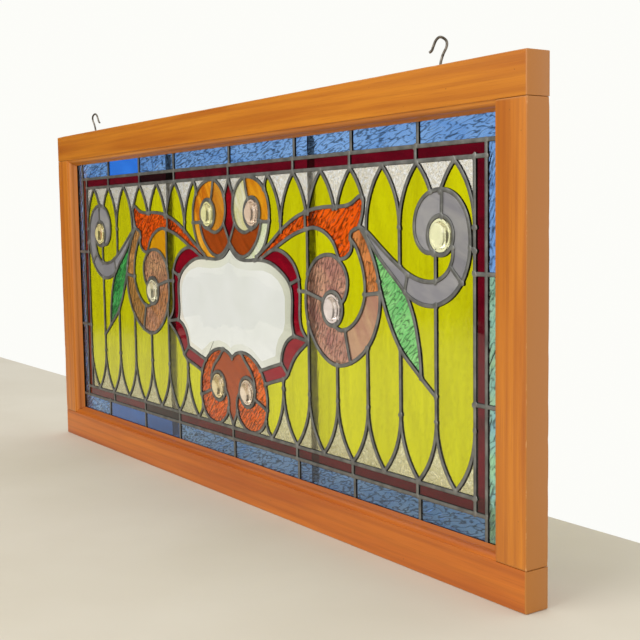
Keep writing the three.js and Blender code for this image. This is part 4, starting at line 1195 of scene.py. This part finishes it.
# wire: circles whose planes follow the bent route, drawn in to a rounded tip
def buildHooks():
    metal = dulledMetal("bentWireDarkened", "#8a8278", "#4c463e", 0.38)
    line = evenly(smoothLine(hookLooks["route"]), hookLooks["step"])
    tangent = np.gradient(line, axis=0)
    tangent /= np.linalg.norm(tangent, axis=1)[:, None]
    toTip = np.minimum((len(line) - np.arange(len(line))) / hookLooks["tipReach"], 1)
    radius = hookLooks["wire"] / 2 * np.sqrt(np.clip(1 - (1 - toTip) ** 2, 0.05, 1))
    count = hookLooks["around"]
    angle = 2 * np.pi * np.arange(count) / count
    for side, sign in (("left", -1), ("right", 1)):
        tipX, tipY = hookLooks[side]
        acrossX, acrossY = -tipX, -tipY
        size = math.hypot(tipX, tipY)
        normal = np.stack([-tangent[:, 1], tangent[:, 0]], axis=1)
        inPlane = line[:, None, :] + normal[:, None, :] * (radius[:, None] * np.cos(angle))[..., None]
        out = radius[:, None] * np.sin(angle)
        x = inPlane[..., 0] * acrossX - out * acrossY / size + sign * hookLooks["span"]
        y = inPlane[..., 0] * acrossY + out * acrossX / size
        z = inPlane[..., 1] + railHigh.z / mm
        points = np.stack([x, y, z], axis=-1).reshape(-1, 3)
        faces = gridFaces(len(line), count) + endCaps(len(line), count)
        addPiece(f"screw_hook_{side}", points, faces, metal, [f"{side}_hook"], None, 50)
    print("stage: hooks")


buildHooks()
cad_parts["glazing_putty"].data.materials.clear()
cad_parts["glazing_putty"].data.materials.append(chalkyPutty("linseedPuttyAged"))
barMetal = dulledMetal("flatSteelBarTinned", "#8b8a86", "#5d5b57", 0.5)
for barName in ("left_support_bar", "right_support_bar"):
    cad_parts[barName].data.materials.clear()
    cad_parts[barName].data.materials.append(barMetal)
print("stage: putty and bars")


# ---- floor, light and camera ----

studio = {
    "floor": ("paleConcreteFloor", 3.0, 6.0, "#d0c8b8", "#d8d1c3", 0.85),
    "card": ("blackFeltCard", 20.0, 2.0, "#1c1a18", "#262320", 0.9),
    "worldColour": "#f2f2ee",
    "worldStrength": 1.1,
    "keyPlace": (0.3, -3.0, 1.5),
    "keyPower": 55,
    "keySize": 2.4,
    "cameraPlace": (1.535, -0.8695, -0.2134),
    "yaw": 55.79, "pitch": 5.19, "roll": -0.86,
    "lens": 61.8,
    "floorReach": 7.0,
    "floorBack": 0.3,  # the floor stops behind the window, so that the glass is seen against plain light
    "flagPlace": (-2.2, -1.5, 0.275),  # a dark card that the glass mirrors, out of the picture
    "flagSize": (3.2, 1.85),
    "flagTurn": 33.8,
}


# two near colours clouding into each other
def mottledSurface(name, scale, detail, dark, light, roughness):
    material, tree = newMaterial(name)
    cloud = noiseTexture(tree, ownPlace(tree), scale, detail)
    finishSurface(tree, {"Base Color": toneRamp(tree, cloud, 0.3, dark, 0.7, light), "Roughness": roughness})
    return material


def flatSheet(name, corners, material):
    mesh = bpy.data.meshes.new(name)
    mesh.from_pydata(corners, [], [(0, 1, 2, 3)])
    mesh.materials.append(material)
    sheet = bpy.data.objects.new(name, mesh)
    bpy.context.collection.objects.link(sheet)
    return sheet


def buildStudio():
    bpy.context.scene.view_settings.view_transform = "Standard"
    reach, far, low = studio["floorReach"], studio["floorBack"], footLow.z
    floor = flatSheet("pale_floor", [(-reach, -reach, low), (reach, -reach, low), (reach, far, low),
                                     (-reach, far, low)], mottledSurface(*studio["floor"]))
    wide, high = studio["flagSize"]
    lean = math.radians(studio["flagTurn"])
    run = Vector((-math.sin(lean), math.cos(lean), 0)) * wide / 2
    rise = Vector((0, 0, high / 2))
    place = Vector(studio["flagPlace"])
    card = flatSheet("dark_card", [place - run - rise, place + run - rise, place + run + rise,
                                   place - run + rise], mottledSurface(*studio["card"]))
    world = bpy.data.worlds.new("studio")
    world.use_nodes = True
    background = world.node_tree.nodes["Background"]
    background.inputs["Color"].default_value = linearColour(studio["worldColour"])
    background.inputs["Strength"].default_value = studio["worldStrength"]
    bpy.context.scene.world = world
    key = bpy.data.lights.new("soft_key", "AREA")
    key.energy = studio["keyPower"]
    key.size = studio["keySize"]
    keyObject = bpy.data.objects.new("soft_key", key)
    keyObject.location = studio["keyPlace"]
    aim = Vector((0, 0, panelMiddleZ)) - keyObject.location
    keyObject.rotation_euler = aim.to_track_quat("-Z", "Y").to_euler()
    bpy.context.collection.objects.link(keyObject)


def buildCamera():
    yaw, pitch, roll = (math.radians(studio[name]) for name in ("yaw", "pitch", "roll"))
    forward = Vector((-math.sin(yaw) * math.cos(pitch), math.cos(yaw) * math.cos(pitch), -math.sin(pitch)))
    right = Vector((math.cos(yaw), math.sin(yaw), 0))
    up = right.cross(forward)
    tilted = math.cos(roll) * right + math.sin(roll) * up
    upright = -math.sin(roll) * right + math.cos(roll) * up
    turn = Matrix((tilted, upright, -forward)).transposed().to_4x4()
    camera = bpy.data.cameras.new("camera")
    camera.lens = studio["lens"]
    camera.sensor_width = 36
    cameraObject = bpy.data.objects.new("camera", camera)
    cameraObject.matrix_world = Matrix.Translation(studio["cameraPlace"]) @ turn
    bpy.context.collection.objects.link(cameraObject)
    bpy.context.scene.camera = cameraObject


buildStudio()
buildCamera()
print("stage: studio")
